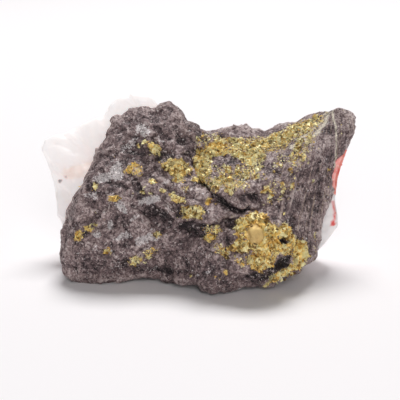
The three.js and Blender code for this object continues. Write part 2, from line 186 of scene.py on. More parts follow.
def chips(x, y, z, size, seed, bevel=0.22):
    """Broken-facet relief: the tilted plane of the nearest scattered seed, beveled to the next."""
    x, y, z = x / size, y / size, z / size
    i, j, k = (np.floor(v).astype(np.int64) for v in (x, y, z))
    near = np.full(x.shape, 1e9)
    after = np.full(x.shape, 1e9)
    near_value = np.zeros(x.shape)
    after_value = np.zeros(x.shape)
    for n in range(27):
        cell = i + n % 3 - 1, j + (n // 3) % 3 - 1, k + n // 9 - 1
        away = [v - c - cell_hash(*cell, seed + m) for m, (v, c) in enumerate(zip((x, y, z), cell))]
        r = np.sqrt(sum(a * a for a in away))
        value = sum((cell_hash(*cell, seed + 3 + m) * 2 - 1) * a for m, a in enumerate(away))
        first = r < near
        second = ~first & (r < after)
        after = np.where(first, near, np.where(second, r, after))
        after_value = np.where(first, near_value, np.where(second, value, after_value))
        near = np.where(first, r, near)
        near_value = np.where(first, value, near_value)
    return near_value + (after_value - near_value) * 0.5 * (1 - smooth(after - near, 0, bevel))


def rim_distance(u, w, rim):
    """Distance to a closed rim, negative inside, by the nearest segment and a crossing count."""
    best = np.full(u.shape, 1e9)
    inside = np.zeros(u.shape, bool)
    for (ax, ay), (bx, by) in zip(rim, rim[1:] + rim[:1]):
        ex, ey = bx - ax, by - ay
        t = np.clip(((u - ax) * ex + (w - ay) * ey) / (ex * ex + ey * ey), 0, 1)
        best = np.minimum(best, (u - ax - t * ex) ** 2 + (w - ay - t * ey) ** 2)
        if ey != 0:
            inside ^= ((ay > w) != (by > w)) & (u < ax + (w - ay) * ex / ey)
    return np.where(inside, -1, 1) * np.sqrt(best)


def rim_reach(rim, centre, dx, dy):
    """How far a ray from the centre runs to the rim's outermost crossing, by two-line solutions."""
    best = np.zeros(dx.shape)
    for (ax, ay), (bx, by) in zip(rim, rim[1:] + rim[:1]):
        ex, ey = bx - ax, by - ay
        det = dx * ey - dy * ex
        det = np.where(np.abs(det) < 1e-12, 1e-12, det)
        r = ((ax - centre[0]) * ey - (ay - centre[1]) * ex) / det
        t = ((ax - centre[0]) * dy - (ay - centre[1]) * dx) / det
        best = np.where((t >= -1e-9) & (t <= 1 + 1e-9) & (r > best), r, best)
    return best


def path_distance(u, w, path):
    """Distance to an open path, positive on its left, and how far past its ends a point lies."""
    best = np.full(u.shape, 1e9)
    signed = np.zeros(u.shape)
    past = np.zeros(u.shape)
    for (ax, ay), (bx, by) in zip(path[:-1], path[1:]):
        ex, ey = bx - ax, by - ay
        length = math.hypot(ex, ey)
        t = ((u - ax) * ex + (w - ay) * ey) / length
        tc = np.clip(t, 0, length)
        dist = np.hypot(u - ax - tc * ex / length, w - ay - tc * ey / length)
        side = np.where(ex * (w - ay) - ey * (u - ax) >= 0, dist, -dist)
        new = dist < best
        best = np.where(new, dist, best)
        signed = np.where(new, side, signed)
        past = np.where(new, np.abs(t - tc), past)
    return signed, past


def oval(u, w, cu, cw, ru, rw, turn=0.0):
    """Distance from an oval's centre in units of its own half sizes, after turning it."""
    c, s = math.cos(math.radians(turn)), math.sin(math.radians(turn))
    return np.hypot(((u - cu) * c + (w - cw) * s) / ru, (-(u - cu) * s + (w - cw) * c) / rw)


def hill(u, w, cu, cw, ru, rw, turn=0.0):
    """A rounded mound: e to the minus square of the oval distance."""
    return np.exp(-(oval(u, w, cu, cw, ru, rw, turn) ** 2))


def ledge(u, w, path, height, fall, soft):
    """A step along a path that is steep on its right side and dies away on its left."""
    s, past = path_distance(u, w, path)
    return height * smooth(s, -soft, soft) * np.exp(-np.maximum(s, 0) / fall - (past / 3.0) ** 2)


def crease(u, w, path, height, half):
    """A ridge, or a groove where height is negative, with a bell section along a path."""
    s, _ = path_distance(u, w, path)
    return height * np.exp(-((s / half) ** 2))


# ---- the forms of the stone ----
def rim_depth(u, w):
    """How far out of the face the rock's rim runs: a tilted plane with one swell and one dip."""
    swell = 8.0 * hill(u, w, 7, -18, 11, 11) - 5.5 * hill(u, w, 10, 17, 13, 13)
    return 1.0 - 0.055 * u - 0.12 * w + swell


def calcite_depth(u, w):
    """Depth of the plate that the calcite's skin starts from: a plane tilted along u."""
    return -9 + 0.07 * u


def crust_thickness(u, w):
    """Height of the orpiment: flat-topped ovals with wandering edges, the highest one counts."""
    wu = u + noises(u, w, 0 * u, (0.8, 2.6, 71))
    ww = w + noises(u, w, 0 * u, (0.8, 2.6, 72))
    best = np.zeros(u.shape)
    for *place, high in CRUSTS:
        best = np.maximum(best, high * (1 - smooth(oval(wu, ww, *place), 0.72, 1.08)))
    return best


def fan(u, w):
    """Curves that leave the right tip sideways and bend straight down: distance left of the tip
    over the root of the distance below it, constant along each curve; and that distance below."""
    below = np.maximum(TIP[1] + 1.5 - w, 0.6)
    return (TIP[0] - 0.8 - u) / np.sqrt(below / 12.0), below


def block(u, w, planes):
    """The lowest of several tilted planes, each joined to those before it by a rounded minimum."""
    low = np.full(u.shape, 99.0)
    for height, at_u, at_w, slope_u, slope_w, join in planes:
        plane = height + slope_u * (u - at_u) + slope_w * (w - at_w)
        low = smin(low, plane, join) if join else plane
    return low


def face(u, w):
    """Height of the dark face: two blocks of broken planes that meet in a gully, plus relief."""
    flat = 0 * u
    h = smax(block(u, w, LEFT_BLOCK), block(u, w, RIGHT_BLOCK), 1.2)
    for height, *place in FACE_HILLS:
        h = h + height * hill(u, w, *place)
    for path, height, half in ((RIB_TOP, 0.8, 0.9), (RIB_SIDE, 0.8, 0.8), (SPINE, 0.6, 1.3)):
        h = h + crease(u, w, path, height, half)
    h = h + ledge(u, w, STEP, 1.8, 5.0, 0.5) + ledge(u, w, CRACK, 1.1, 5.0, 0.4)
    torn_u = u + noises(u, w, flat, (0.30, 1.5, 63), (0.15, 0.7, 64))
    torn_w = w + noises(u, w, flat, (0.30, 1.5, 65), (0.15, 0.7, 66))
    h = h + crease(torn_u, torn_w, CRACK, -2.1, 0.42)
    across, below = fan(u, w)
    flute = value_noise(across, below / 7.0, flat, 1.3, 61)
    flute = flute + 0.6 * value_noise(across, below / 5.0, flat, 0.7, 62)
    return h + 0.20 * flute * smooth(u, 13, 19) * smooth(12.5 - w + 0.55 * (u - 20), 0, 3)


def rock_field(u, w, d, relief=True):
    """Negative inside the dark rock: rim wall, face and back joined by rounded maxima, less the
    swell under the crusts, less relief."""
    t = np.abs(d - rim_depth(u, w))
    sway = 0.28 * np.minimum(t, 6.0)
    wu = u + sway * value_noise(u, w, d, 7.0, 31)
    ww = w + sway * value_noise(u, w, d, 7.0, 32)
    f = rim_distance(wu, ww, ROCK_RIM) + 0.2 * t + 0.02 * t * t
    f = smax(f, (d - face(u, w)) * 0.75, 1.0)
    f = smax(f, -7.2 + 0.05 * u - d, 1.5)
    f = f - CRUST_SWELL * crust_thickness(u, w) * smooth(d, -1.0, 2.0)
    if relief:
        bumps = noises(u, w, d, (0.75, 8.0, 11), (0.45, 4.0, 12), (0.22, 2.1, 13))
        bumps = bumps + 0.75 * chips(u, w, d, 4.6, 21)
        f = f - bumps * (0.35 + 0.65 * smooth(t, 0.0, 2.5)) * (1 - 0.7 * hill(u, w, 30.5, 17, 4, 6))
    return f


def calcite_field(u, w, d, relief=True):
    """Negative inside the calcite: a rimmed slab cut by flat planes, less cleavage stairs."""
    t = np.abs(d - (-7.5 + 0.07 * u))
    f = rim_distance(u, w, CALCITE_RIM) + 0.07 * t - 0.1
    for along_u, along_w, along_d, offset in CALCITE_PLANES:
        f = np.maximum(f, along_u * u + along_w * w + along_d * d + offset)
    if relief:
        raw = 2.5 * value_noise(u + 0.5 * w, w, d * 0.6, 8.0, 41)
        stair = (np.floor(raw) + smooth(raw - np.floor(raw), 0.38, 0.62)) / 2.5
        bumps = 1.3 * stair + 0.9 * chips(u, w, d, 8.5, 51) + 0.35 * chips(u, w, d, 3.6, 61)
        f = f - bumps * (0.3 + 0.7 * smooth(t, 0.5, 3.5)) * (1 - 0.85 * smooth(u, 21, 26))
    return f


# ---- surfaces from fields ----
def to_stone(p):
    """Face frame to the specimen's frame: turn back by LEAN about u, then lift onto the floor."""
    u, w, d = p.T
    c, s = math.cos(LEAN), math.sin(LEAN)
    z = np.maximum(w * c + d * s + SEAT, 0.0)
    return np.stack([u + SHIFT_X, w * s - d * c + SHIFT_Y, z], 1)


def box_cells(half, cells):
    """Corners and quads of a box's six gridded sides, shared along the edges, facing outwards."""
    corners, quads, base = [], [], 0
    for (a, b, c), turn in (((0, 1, 2), 1), ((0, 2, 1), -1), ((1, 2, 0), 1)):
        for side in (-1, 1):
            ga = np.linspace(-half[a], half[a], cells[a] + 1)
            gb = np.linspace(-half[b], half[b], cells[b] + 1)
            grid_a, grid_b = np.meshgrid(ga, gb, indexing="ij")
            p = np.zeros(grid_a.shape + (3,))
            p[..., a], p[..., b], p[..., c] = grid_a, grid_b, side * half[c]
            n = base + np.arange(grid_a.size).reshape(grid_a.shape)
            q = np.stack([n[:-1, :-1], n[1:, :-1], n[1:, 1:], n[:-1, 1:]], -1).reshape(-1, 4)
            quads.append(q[:, ::-1] if side * turn < 0 else q)
            corners.append(p.reshape(-1, 3))
            base += grid_a.size
    corners, quads = np.concatenate(corners), np.concatenate(quads)
    key = np.round(corners * 1e4).astype(np.int64)
    _, first, shared = np.unique(key, axis=0, return_index=True, return_inverse=True)
    return corners[first], shared.reshape(-1)[quads]


def halve(field, at, inner, outer, times):
    """Bisects each point's path to the field's zero: inside moves one end, outside the other."""
    for _ in range(times):
        mid = 0.5 * (inner + outer)
        within = field(*at(mid)) < 0
        inner = np.where(within, mid, inner)
        outer = np.where(within, outer, mid)
    return 0.5 * (inner + outer)


def walk_in(field, at, start, stop, steps):
    """Steps from outside to inside on every path at once, and stops each at its first crossing."""
    place = np.full(at.count, float(stop))
    open_ones = np.arange(at.count)
    for n in range(1, steps):
        if not len(open_ones):
            break
        s = start + (stop - start) * n / steps
        within = field(*at(np.full(len(open_ones), s), open_ones)) < 0
        place[open_ones[within]] = s
        open_ones = open_ones[~within]
    return place


class StraightPath:
    """Paths that run straight from one set of points, at 0, to another, at 1."""

    def __init__(self, start, end):
        self.start, self.step = start, end - start
        self.count = len(start)
        self.speed = np.linalg.norm(self.step, axis=1)

    def __call__(self, s, pick=slice(None)):
        points = self.start[pick] + self.step[pick] * s[:, None]
        return points[:, 0], points[:, 1], points[:, 2]


def surface(plain, full, path, start, stop, steps, slack=2.6):
    """First crossing of the plain field, then the zero of the full field within slack mm of it."""
    found = walk_in(plain, path, start, stop, steps)
    gap = np.abs(start - stop) / steps
    found = halve(plain, path, found, found + gap, 6)
    spread = slack / path.speed
    found = halve(full, path, np.maximum(found - spread, stop), found + spread, 13)
    return np.stack(path(found), 1)


bare_rock = functools.partial(rock_field, relief=False)
bare_calcite = functools.partial(calcite_field, relief=False)


def skin(plain, full, rim, centre, plate_depth, half, cells):
    """A body's skin: a box's cells, laid on a plate of the rim's form and pushed outwards and off
    it together until they meet the full field."""
    corners, quads = box_cells(half, cells)
    a, b, c = corners.T
    share = np.maximum(np.abs(a) / half[0], np.abs(b) / half[1])
    angle = np.arctan2(b, a)
    along = np.stack([np.cos(angle), np.sin(angle)], 1)
    out = along * (rim_reach(rim, centre, *along.T) * share)[:, None]
    depth = plate_depth(*(out + centre).T)
    start = np.column_stack([out * PLATE + centre, depth])
    end = np.column_stack([out + centre, depth + c])
    return surface(plain, full, StraightPath(start, end), 1.9, 0.0, 38), quads


def vertex_normals(points, quads):
    """Mean of the crossed diagonals of the quads round each corner, made unit length."""
    a, b, c, d = (points[quads[:, n]] for n in range(4))
    cross = np.cross(c - a, d - b)
    out = np.zeros_like(points)
    for axis in range(3):
        for n in range(4):
            out[:, axis] += np.bincount(quads[:, n], cross[:, axis], len(points))
    return out / np.maximum(np.linalg.norm(out, axis=1, keepdims=True), 1e-12)


def crests(points, quads, normals, near=6, far=60, near_mm=0.10, far_mm=0.42):
    """0 in hollows, 1 on crests: how far each corner stands out from the mean of its
    surroundings, near and far, found by averaging each corner with its quads' centres. The
    colours use it as painted shade in hollows and painted light on crests."""
    corners = quads.ravel()
    count = np.maximum(np.bincount(corners, minlength=len(points)), 1)
    mean = points
    total = 0.0
    for n in range(1, far + 1):
        centre = np.repeat(mean[quads].mean(1), 4, axis=0)
        mean = np.stack([np.bincount(corners, centre[:, k], len(points)) / count for k in range(3)], 1)
        if n in (near, far):
            out = ((points - mean) * normals).sum(1)
            total = total + 0.5 * np.tanh(out / (near_mm if n == near else far_mm))
    return np.clip(0.5 + 0.5 * total, 0, 1)


# ---- where the minerals lie on the dark face ----
# Every oval is: centre u, centre w, half sizes along and across, turn in degrees, strength.
# Golden orpiment; the last number is its hue, from 0 for olive to 1 for orange.
GOLD_FIELDS = [
    (0.59, 7.24, 1.96, 3.13, 0, 0.95, 0.45), (3.38, 9.94, 2.9, 1.3, 5, 1.25, 0.95),
    (9.28, 9.48, 3.7, 2.4, 0, 1.2, 0.4), (15.82, 12.81, 3.8, 1.2, 20, 0.85, 0.35),
    (21.98, 15.32, 1.21, 1.61, -30, 0.95, 0.4), (19.23, 13.42, 2, 0.8, 30, 0.6, 0.3),
    (6.42, 11.83, 4.01, 0.8, 5, 0.6, 0.25), (12.31, 10.72, 2.6, 1.3, 20, 0.85, 0.35),
    (24.6, 16.94, 1.21, 0.6, 40, 0.36, 0.3), (4.76, 3.24, 5.14, 1.71, -5, 0.53, 0.3),
    (5.85, 1.7, 1.13, 0.47, -50, 1.1, 0.3), (12.35, 1.71, 2.09, 0.57, 54, 0.68, 0.4),
    (15.63, 2.1, 1.91, 0.57, 100, 0.55, 0.3), (9.6, 4.61, 1.92, 0.96, 0, 0.45, 0.3),
    (17.12, 7.78, 3.11, 1.17, 30, 0.32, 0.3), (-10.62, 11.31, 0.59, 0.43, -20, 0.95, 0.5),
    (-9.7, 9.6, 1.02, 0.82, -60, 1.1, 0.5), (-8.32, 9.4, 0.39, 0.86, 0, 0.95, 0.5),
    (-12.99, 5.82, 2.0, 1.15, 0, 0.46, 0.85), (-4.67, 6.04, 2.9, 1.5, -15, 0.98, 0.7),
    (-4.45, 4.06, 1.35, 0.5, 0, 0.75, 0.35), (-6.91, 1.92, 0.96, 0.58, 0, 0.65, 0.4),
    (-4.23, 0.58, 1.73, 0.86, -30, 0.6, 0.4), (-1.33, -2.09, 2.19, 1.43, -5, 1.05, 0.55),
    (1.61, -0.38, 0.49, 0.76, 0, 1, 0.85), (-20.24, 2.6, 0.5, 0.77, 0, 0.9, 0.6),
    (-16.75, 0, 1.23, 0.65, 15, 0.62, 0.8), (-23.54, -6.56, 0.96, 0.96, -40, 0.52, 0.9),
    (-21.17, -5, 0.27, 0.27, 0, 0.6, 0.6), (-18.13, -9.45, 0.77, 0.77, 0, 0.38, 0.75),
    (-8.07, -6.92, 0.96, 0.77, 0, 0.6, 0.45), (-12.79, -11.83, 1.9, 1.1, 8, 0.46, 0.3),
    (-9.27, -10.04, 1.9, 0.9, 25, 0.46, 0.35), (-9.02, 3.46, 0.77, 0.58, 0, 0.5, 0.5),
    (-11.35, 1.35, 0.65, 0.38, 0, 0.6, 0.5), (-2.49, 2.3, 1.15, 0.77, 0, 0.4, 0.4),
    (-0.77, 4.26, 1.16, 0.97, 0, 0.45, 0.4), (10.18, -5.47, 3.39, 2.83, 0, 1.15, 0.60),
    (14.34, -7.55, 3.77, 2.83, -35, 1.15, 0.60), (18.94, -10.05, 1.93, 2.9, 10, 1.1, 0.5),
    (10.18, -8.67, 3.96, 1.89, -8, 1, 0.7), (12.07, -11.5, 3.58, 1.51, 0, 1, 0.62),
    (16.71, -13.44, 3.26, 0.65, 27, 1.1, 0.5), (13.76, -15.1, 2.87, 0.38, 33, 0.95, 0.55),
    (2.64, -5.38, 1.98, 0.91, 0, 0.58, 0.6), (1.61, -7.38, 1.7, 0.87, 0, 0.5, 0.75),
    (12, 11.2, 10, 2.4, 12, 0.52, 0.3), (19, 13.6, 6, 2.0, 25, 0.55, 0.3),
    (3, 12.5, 6, 1.8, 5, 0.34, 0.2), (22.8, 15.6, 2.8, 1.5, 35, 0.44, 0.3),
    (7, 5.4, 6, 2.6, 0, 0.30, 0.3), (14.5, 1.5, 5.5, 2.6, 30, 0.24, 0.3),
    (20, 10.0, 6.5, 2.6, 38, 0.30, 0.3),
    (3.96, -9.24, 1.7, 1.13, -30, 0.5, 0.2), (4.71, -13.2, 0.75, 0.57, 0, 0.45, 0.9),
    (3.21, -14.81, 0.75, 0.45, 0, 0.42, 0.9), (7.54, -11.69, 1.51, 0.75, -40, 0.5, 0.5),
]
# Bare spots inside the golden ground: pits, a wedge of rock and the dark ends of the crack.
BARE_FIELDS = [
    (15.6, -7.8, 1.25, 1.0, -20, 1), (15.3, -12.0, 3.1, 1.35, 37, 1.1),
    (11.2, -14.43, 1.71, 0.95, 30, 1), (17.58, -9.6, 0.88, 0.88, 0, 0.6),
    (5.28, -7.45, 1.13, 0.94, 0, 0.9), (9.61, -9.61, 0.49, 0.41, 0, 0.7),
    (6.06, 7.43, 2.54, 1.17, 0, 0.55), (9.45, 0.57, 2.65, 1.13, 10, 0.8),
    (8.11, -6.79, 0.57, 1.32, 20, 0.35),
]
# Pale smears of ground-in calcite.
PALE_FIELDS = [
    (-11.08, 13.9, 1.9, 1.2, -35, 0.78), (-14.0, 10.8, 3.4, 1.1, 44, 0.62),
    # These two ovals over the upper band lighten rock that faces up: partly its paler ground, partly painted
    # light from above.
    (15, 11.0, 7, 2.6, 14, 0.24), (21, 13.6, 6, 2.2, 30, 0.30),
    (-16.38, 5.82, 1.4, 2.5, 5, 0.95), (-18.73, 4.25, 2.4, 1.0, 8, 0.9),
    (-21.39, 0.96, 1.9, 1.0, 0, 0.72), (-9.42, -0.1, 2.5, 0.75, 14, 1.1),
    (-15.19, -1.3, 2.1, 0.8, -40, 0.8), (-9.9, -7.5, 3.0, 0.9, 18, 0.92),
    (-19.62, -6.54, 1.0, 0.8, 0, 0.9), (-17.3, -5.09, 0.7, 1.3, 0, 0.85),
    (-14.99, -7.11, 2.2, 0.8, 10, 0.8), (-16.3, -12.22, 1.5, 2.5, 0, 0.42),
    (-12.3, -3.4, 2.0, 0.6, 35, 0.62), (-6.6, 3.2, 1.4, 0.6, 50, 0.5), (-20.2, -9.6, 1.2, 0.7, 30, 0.6),
    (-23.25, -10.85, 1.16, 2.13, 0, 0.3), (11.23, 6.19, 1.06, 0.58, 0, 0.55),
    (-6.12, -1.34, 0.69, 1.53, 30, 0.45), (3.58, -0.94, 2.45, 1.32, -10, 0.28),
    (-25.93, -8.74, 0.31, 1.36, -8, 0.5), (-7.68, 11.82, 1.18, 0.24, -35, 0.7),
    (-19.03, 14.87, 1.19, 1.59, 60, 0.3), (0, -11.8, 0.3, 0.27, 0, 0.9),
    (1.33, -14.02, 0.3, 0.3, 0, 0.9), (2.45, -12.46, 0.28, 0.19, 0, 0.8),
    (-0.19, -14.09, 0.27, 0.3, 0, 0.8), (-1.34, -13.19, 0.23, 0.19, 0, 0.7),
    (0.95, -11, 0.19, 0.19, 0, 0.7), (-10.42, 18.63, 1.2, 0.6, 0, 0.2), (-6.02, 18.85, 1.2, 1, 0, 0.3),
]
# Painted shade in hollows, pits, recesses and along the crack, and dark stains.
SHADE_AND_STAIN_FIELDS = [
    (5.1, -0.76, 1.3, 0.5, -42, 1), (2.47, 2.66, 2.2, 0.36, -55, 0.9),
    (7.75, -1.89, 1.3, 0.3, -10, 0.7), (-7.13, -3.08, 3.0, 3.6, -40, 0.22),
    (-13.29, 8.99, 2.15, 1.17, 10, 0.6), (0, -6.66, 2.28, 1.9, -30, 0.32),
    (15.6, -7.8, 1.2, 0.9, -20, 1), (15.3, -12.0, 2.9, 1.1, 37, 1),
    (5.28, -7.45, 1.13, 0.94, 0, 0.9), (-21.86, -6.74, 0.65, 0.96, 0, 1),
    (6.06, 7.23, 2.34, 0.98, 0, 0.45), (9.64, 0.57, 2.46, 1.13, 10, 0.55),
    (11.02, -14.63, 2.28, 1.14, 25, 0.75), (-7.78, -13.62, 5.06, 0.78, -2, 0.6),
    (24.9, 13.74, 1.2, 1, 0, 0.4), (-3.83, -4.21, 2.3, 0.96, -50, 0.32),
    (-24.64, 1.93, 0.77, 1.16, 40, 0.3), (23.17, 0, 1.57, 4.32, 5, 0.2),
    (-1.91, 1.53, 0.96, 0.76, 0, 0.4), (-14.5, 6.5, 8.0, 6.0, 20, 0.22), (2.6, -6.6, 3.2, 2.2, -20, 0.35),
]


def ragged(u, w, seed):
    """Broken-up noise near -1 to 1, of four falling sizes."""
    steps = (0.55, 1.7, seed), (0.50, 0.8, seed + 1), (0.40, 0.42, seed + 2), (0.25, 0.24, seed + 3)
    return noises(u, w, 0 * u, *steps)


def field_mask(u, w, fields, seed, wander=0.5):
    """Strongest of a list of soft ovals at each place, with edges pushed about by noise."""
    wu = u + noises(u, w, 0 * u, (wander, 2.4, seed), (0.5 * wander, 0.9, seed + 1))
    ww = w + noises(u, w, 0 * u, (wander, 2.4, seed + 2), (0.5 * wander, 0.9, seed + 3))
    best = np.zeros(u.shape)
    for row in fields:
        best = np.maximum(best, row[5] * (1 - smooth(oval(wu, ww, *row[:5]), 0.4, 1.3)))
    return best


# Thin pale ribs that run down from the right tip.
PALE_RIBS = [
    [
        (27.0, 18.1), (25.9, 17.2), (25.3, 15.8), (24.4, 14.6),
        (23.6, 13.6), (22.2, 12.6), (20.8, 11.8), (17.7, 10.3),
    ],
    [(26.4, 18.3), (25.2, 17.2), (24.6, 15.9), (23.4, 14.8), (22.4, 13.8), (21.2, 13.0), (19.4, 12.1)],
    [(27.1, 18.3), (26.9, 14.4), (26.8, 11.2), (27.1, 8.7), (27.2, 6.5)],
]


def pale_ribs(u, w):
    """Signed distance in mm to each rib, and how much of it shows: all of it up to its ends and
    nothing a millimetre past them."""
    wu = u + 0.25 * value_noise(u, w, 0 * u, 1.6, 271)
    found = [path_distance(wu, w, path) for path in PALE_RIBS]
    away = np.stack([np.clip(s, -3, 3) for s, _ in found], 1)
    return away, np.stack([1 - smooth(past, 0, 1) for _, past in found], 1)


def crack_line(u, w):
    """The crack's torn line: narrow where it starts, widest in the middle, gone in places."""
    s, past = path_distance(u + 0.3 * value_noise(u, w, 0 * u, 1.1, 281), w, CRACK[1:])
    half = 0.16 + 0.34 * hill(u, w, 5.6, -1.0, 2.6, 2.0)
    line = np.exp(-((s / half) ** 2) - past**2)
    return line * np.clip(0.9 + 0.7 * value_noise(u, w, 0 * u, 1.4, 282), 0, 1)


def fan_lines(u, w):
    """Where the fine lines that fan down from the right tip run: place across them in units of
    0.42 mm, place along them in units of 16 mm, and how strongly they show."""
    across, below = fan(u, w)
    where = smooth(u, 9, 17) * smooth(18.5 - w + 0.5 * (u - 20), 0, 4)
    return np.stack([across / 0.42, below / 16.0, where], 1)


def golden_ground(u, w):
    """How golden each place is: the ovals less the bare spots and the crack, more along the fan
    lines; and the mean hue of the ovals near it."""
    golden = 1.12 * field_mask(u, w, GOLD_FIELDS, 201)
    bare = 1.35 * field_mask(u, w, BARE_FIELDS, 241, 0.3) + crack_line(u, w)
    across, along, shown = fan_lines(u, w).T
    streaks = 0.22 * shown * value_noise(across, 2 * along, 0 * u, 1.2, 251)
    total, share = np.full(u.shape, 1e-6), np.full(u.shape, 0.5e-6)
    for *place, strength, hue in GOLD_FIELDS:
        weight = strength * np.exp(-(oval(u, w, *place) ** 2) * 1.5)
        total, share = total + weight, share + weight * hue
    return golden - bare + streaks, share / total


# ---- putting surfaces into meshes ----
def make_piece(name, points, faces, slot, masks, soft=True):
    """A mesh object from corner and face arrays, with its slot's material and an attribute for
    each mask, riding on the root body for the specimen."""
    mesh = bpy.data.meshes.new(name)
    count, sides = faces.shape
    mesh.vertices.add(len(points))
    mesh.vertices.foreach_set("co", (to_stone(points) * 0.001).astype(np.float32).ravel())
    mesh.loops.add(count * sides)
    mesh.loops.foreach_set("vertex_index", faces.astype(np.int32).ravel())
    mesh.polygons.add(count)
    mesh.polygons.foreach_set("loop_start", np.arange(0, count * sides, sides, dtype=np.int32))
    mesh.polygons.foreach_set("use_smooth", np.full(count, soft))
    for mask, values in masks.items():
        kind, field = ("FLOAT", "value") if values.ndim == 1 else ("FLOAT_VECTOR", "vector")
        attribute = mesh.attributes.new(mask, kind, "POINT")
        attribute.data.foreach_set(field, values.astype(np.float32).ravel())
    mesh.update(calc_edges=True)
    mesh.validate()
    mesh.materials.append(MATERIALS[slot])
    piece = bpy.data.objects.new(name, mesh)
    bpy.context.scene.collection.objects.link(piece)
    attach(piece, "root")
    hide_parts("specimen")


def closed_patch(top, quads, keep, under):
    """The kept quads of a sheet, the same quads set back by `under`, and walls along the edge."""
    quads = quads[keep]
    used, shared = np.unique(quads, return_inverse=True)
    quads = shared.reshape(quads.shape)
    top, under = top[used], under[used]
    n = len(used)
    edges = np.stack([quads, np.roll(quads, -1, 1)], -1).reshape(-1, 2)
    key = edges[:, 0] * n + edges[:, 1]
    back = edges[:, 1] * n + edges[:, 0]
    rim = edges[~np.isin(key, back)]
    walls = np.stack([rim[:, 1], rim[:, 0], rim[:, 0] + n, rim[:, 1] + n], 1)
    return np.concatenate([top, under]), np.concatenate([quads, quads[:, ::-1] + n, walls]), used


def unit(vectors):
    """Each row made one long."""
    return vectors / np.linalg.norm(vectors, axis=1, keepdims=True)


def shards(centres, normals, sizes, flat, rng):
    """Eight-sided slivers: three crossed axes of random lengths, tipped round each normal."""
    n = len(centres)
    across = unit(np.cross(normals, rng.normal(size=(n, 3))))
    normals = unit(normals + rng.normal(size=(n, 3)) * 0.5)
    across = unit(across - normals * (across * normals).sum(1, keepdims=True))
    tips = []
    spans = ((across, 1.0, 0.7, 1.5), (np.cross(normals, across), 1.0, 0.4, 1.0), (normals, flat, 0.5, 1.4))
    for axis, share, shortest, longest in spans:
        reach = sizes[:, None] * share * rng.uniform(shortest, longest, (n, 2))
        tips += [centres + axis * reach[:, :1], centres - axis * reach[:, 1:]]
    sides = np.array([[0, 2, 4], [2, 1, 4], [1, 3, 4], [3, 0, 4], [2, 0, 5], [1, 2, 5], [3, 1, 5], [0, 3, 5]])
    faces = (np.arange(n) * 6)[:, None, None] + sides[None]
    return np.stack(tips, 1).reshape(-1, 3), faces.reshape(-1, 3)


def strew(points, quads, weight, count, rng):
    """Random spots on quads, picked by weight times area, and the normal and a corner of each
    spot's quad."""
    a, b, c, d = (points[quads[:, k]] for k in range(4))
    cross = np.cross(c - a, d - b)
    area = np.linalg.norm(cross, axis=1)
    chance = np.cumsum(weight[quads].mean(1) * area)
    pick = np.searchsorted(chance, rng.uniform(size=count) * chance[-1])
    s, t = rng.uniform(size=(2, count, 1))
    spots = (a[pick] * (1 - s) + b[pick] * s) * (1 - t) + (d[pick] * (1 - s) + c[pick] * s) * t
    return spots, cross[pick] / np.maximum(area[pick, None], 1e-12), quads[pick, 0]


def strewn_shards(points, quads, weight, count, sizes, lift, flat, rng):
    """Shards strewn over quads and set off by lift. The sizes are the median in mm, the spread of
    its logarithm, the least and the most. Also gives a corner of the sheet near each shard."""
    median, spread, least, most = sizes
    spots, out, near = strew(points, quads, weight, count, rng)
    reach = rng.lognormal(math.log(median), spread, count).clip(least, most)
    corners, sides = shards(spots + out * lift, out, reach, flat, rng)
    return corners, sides, near


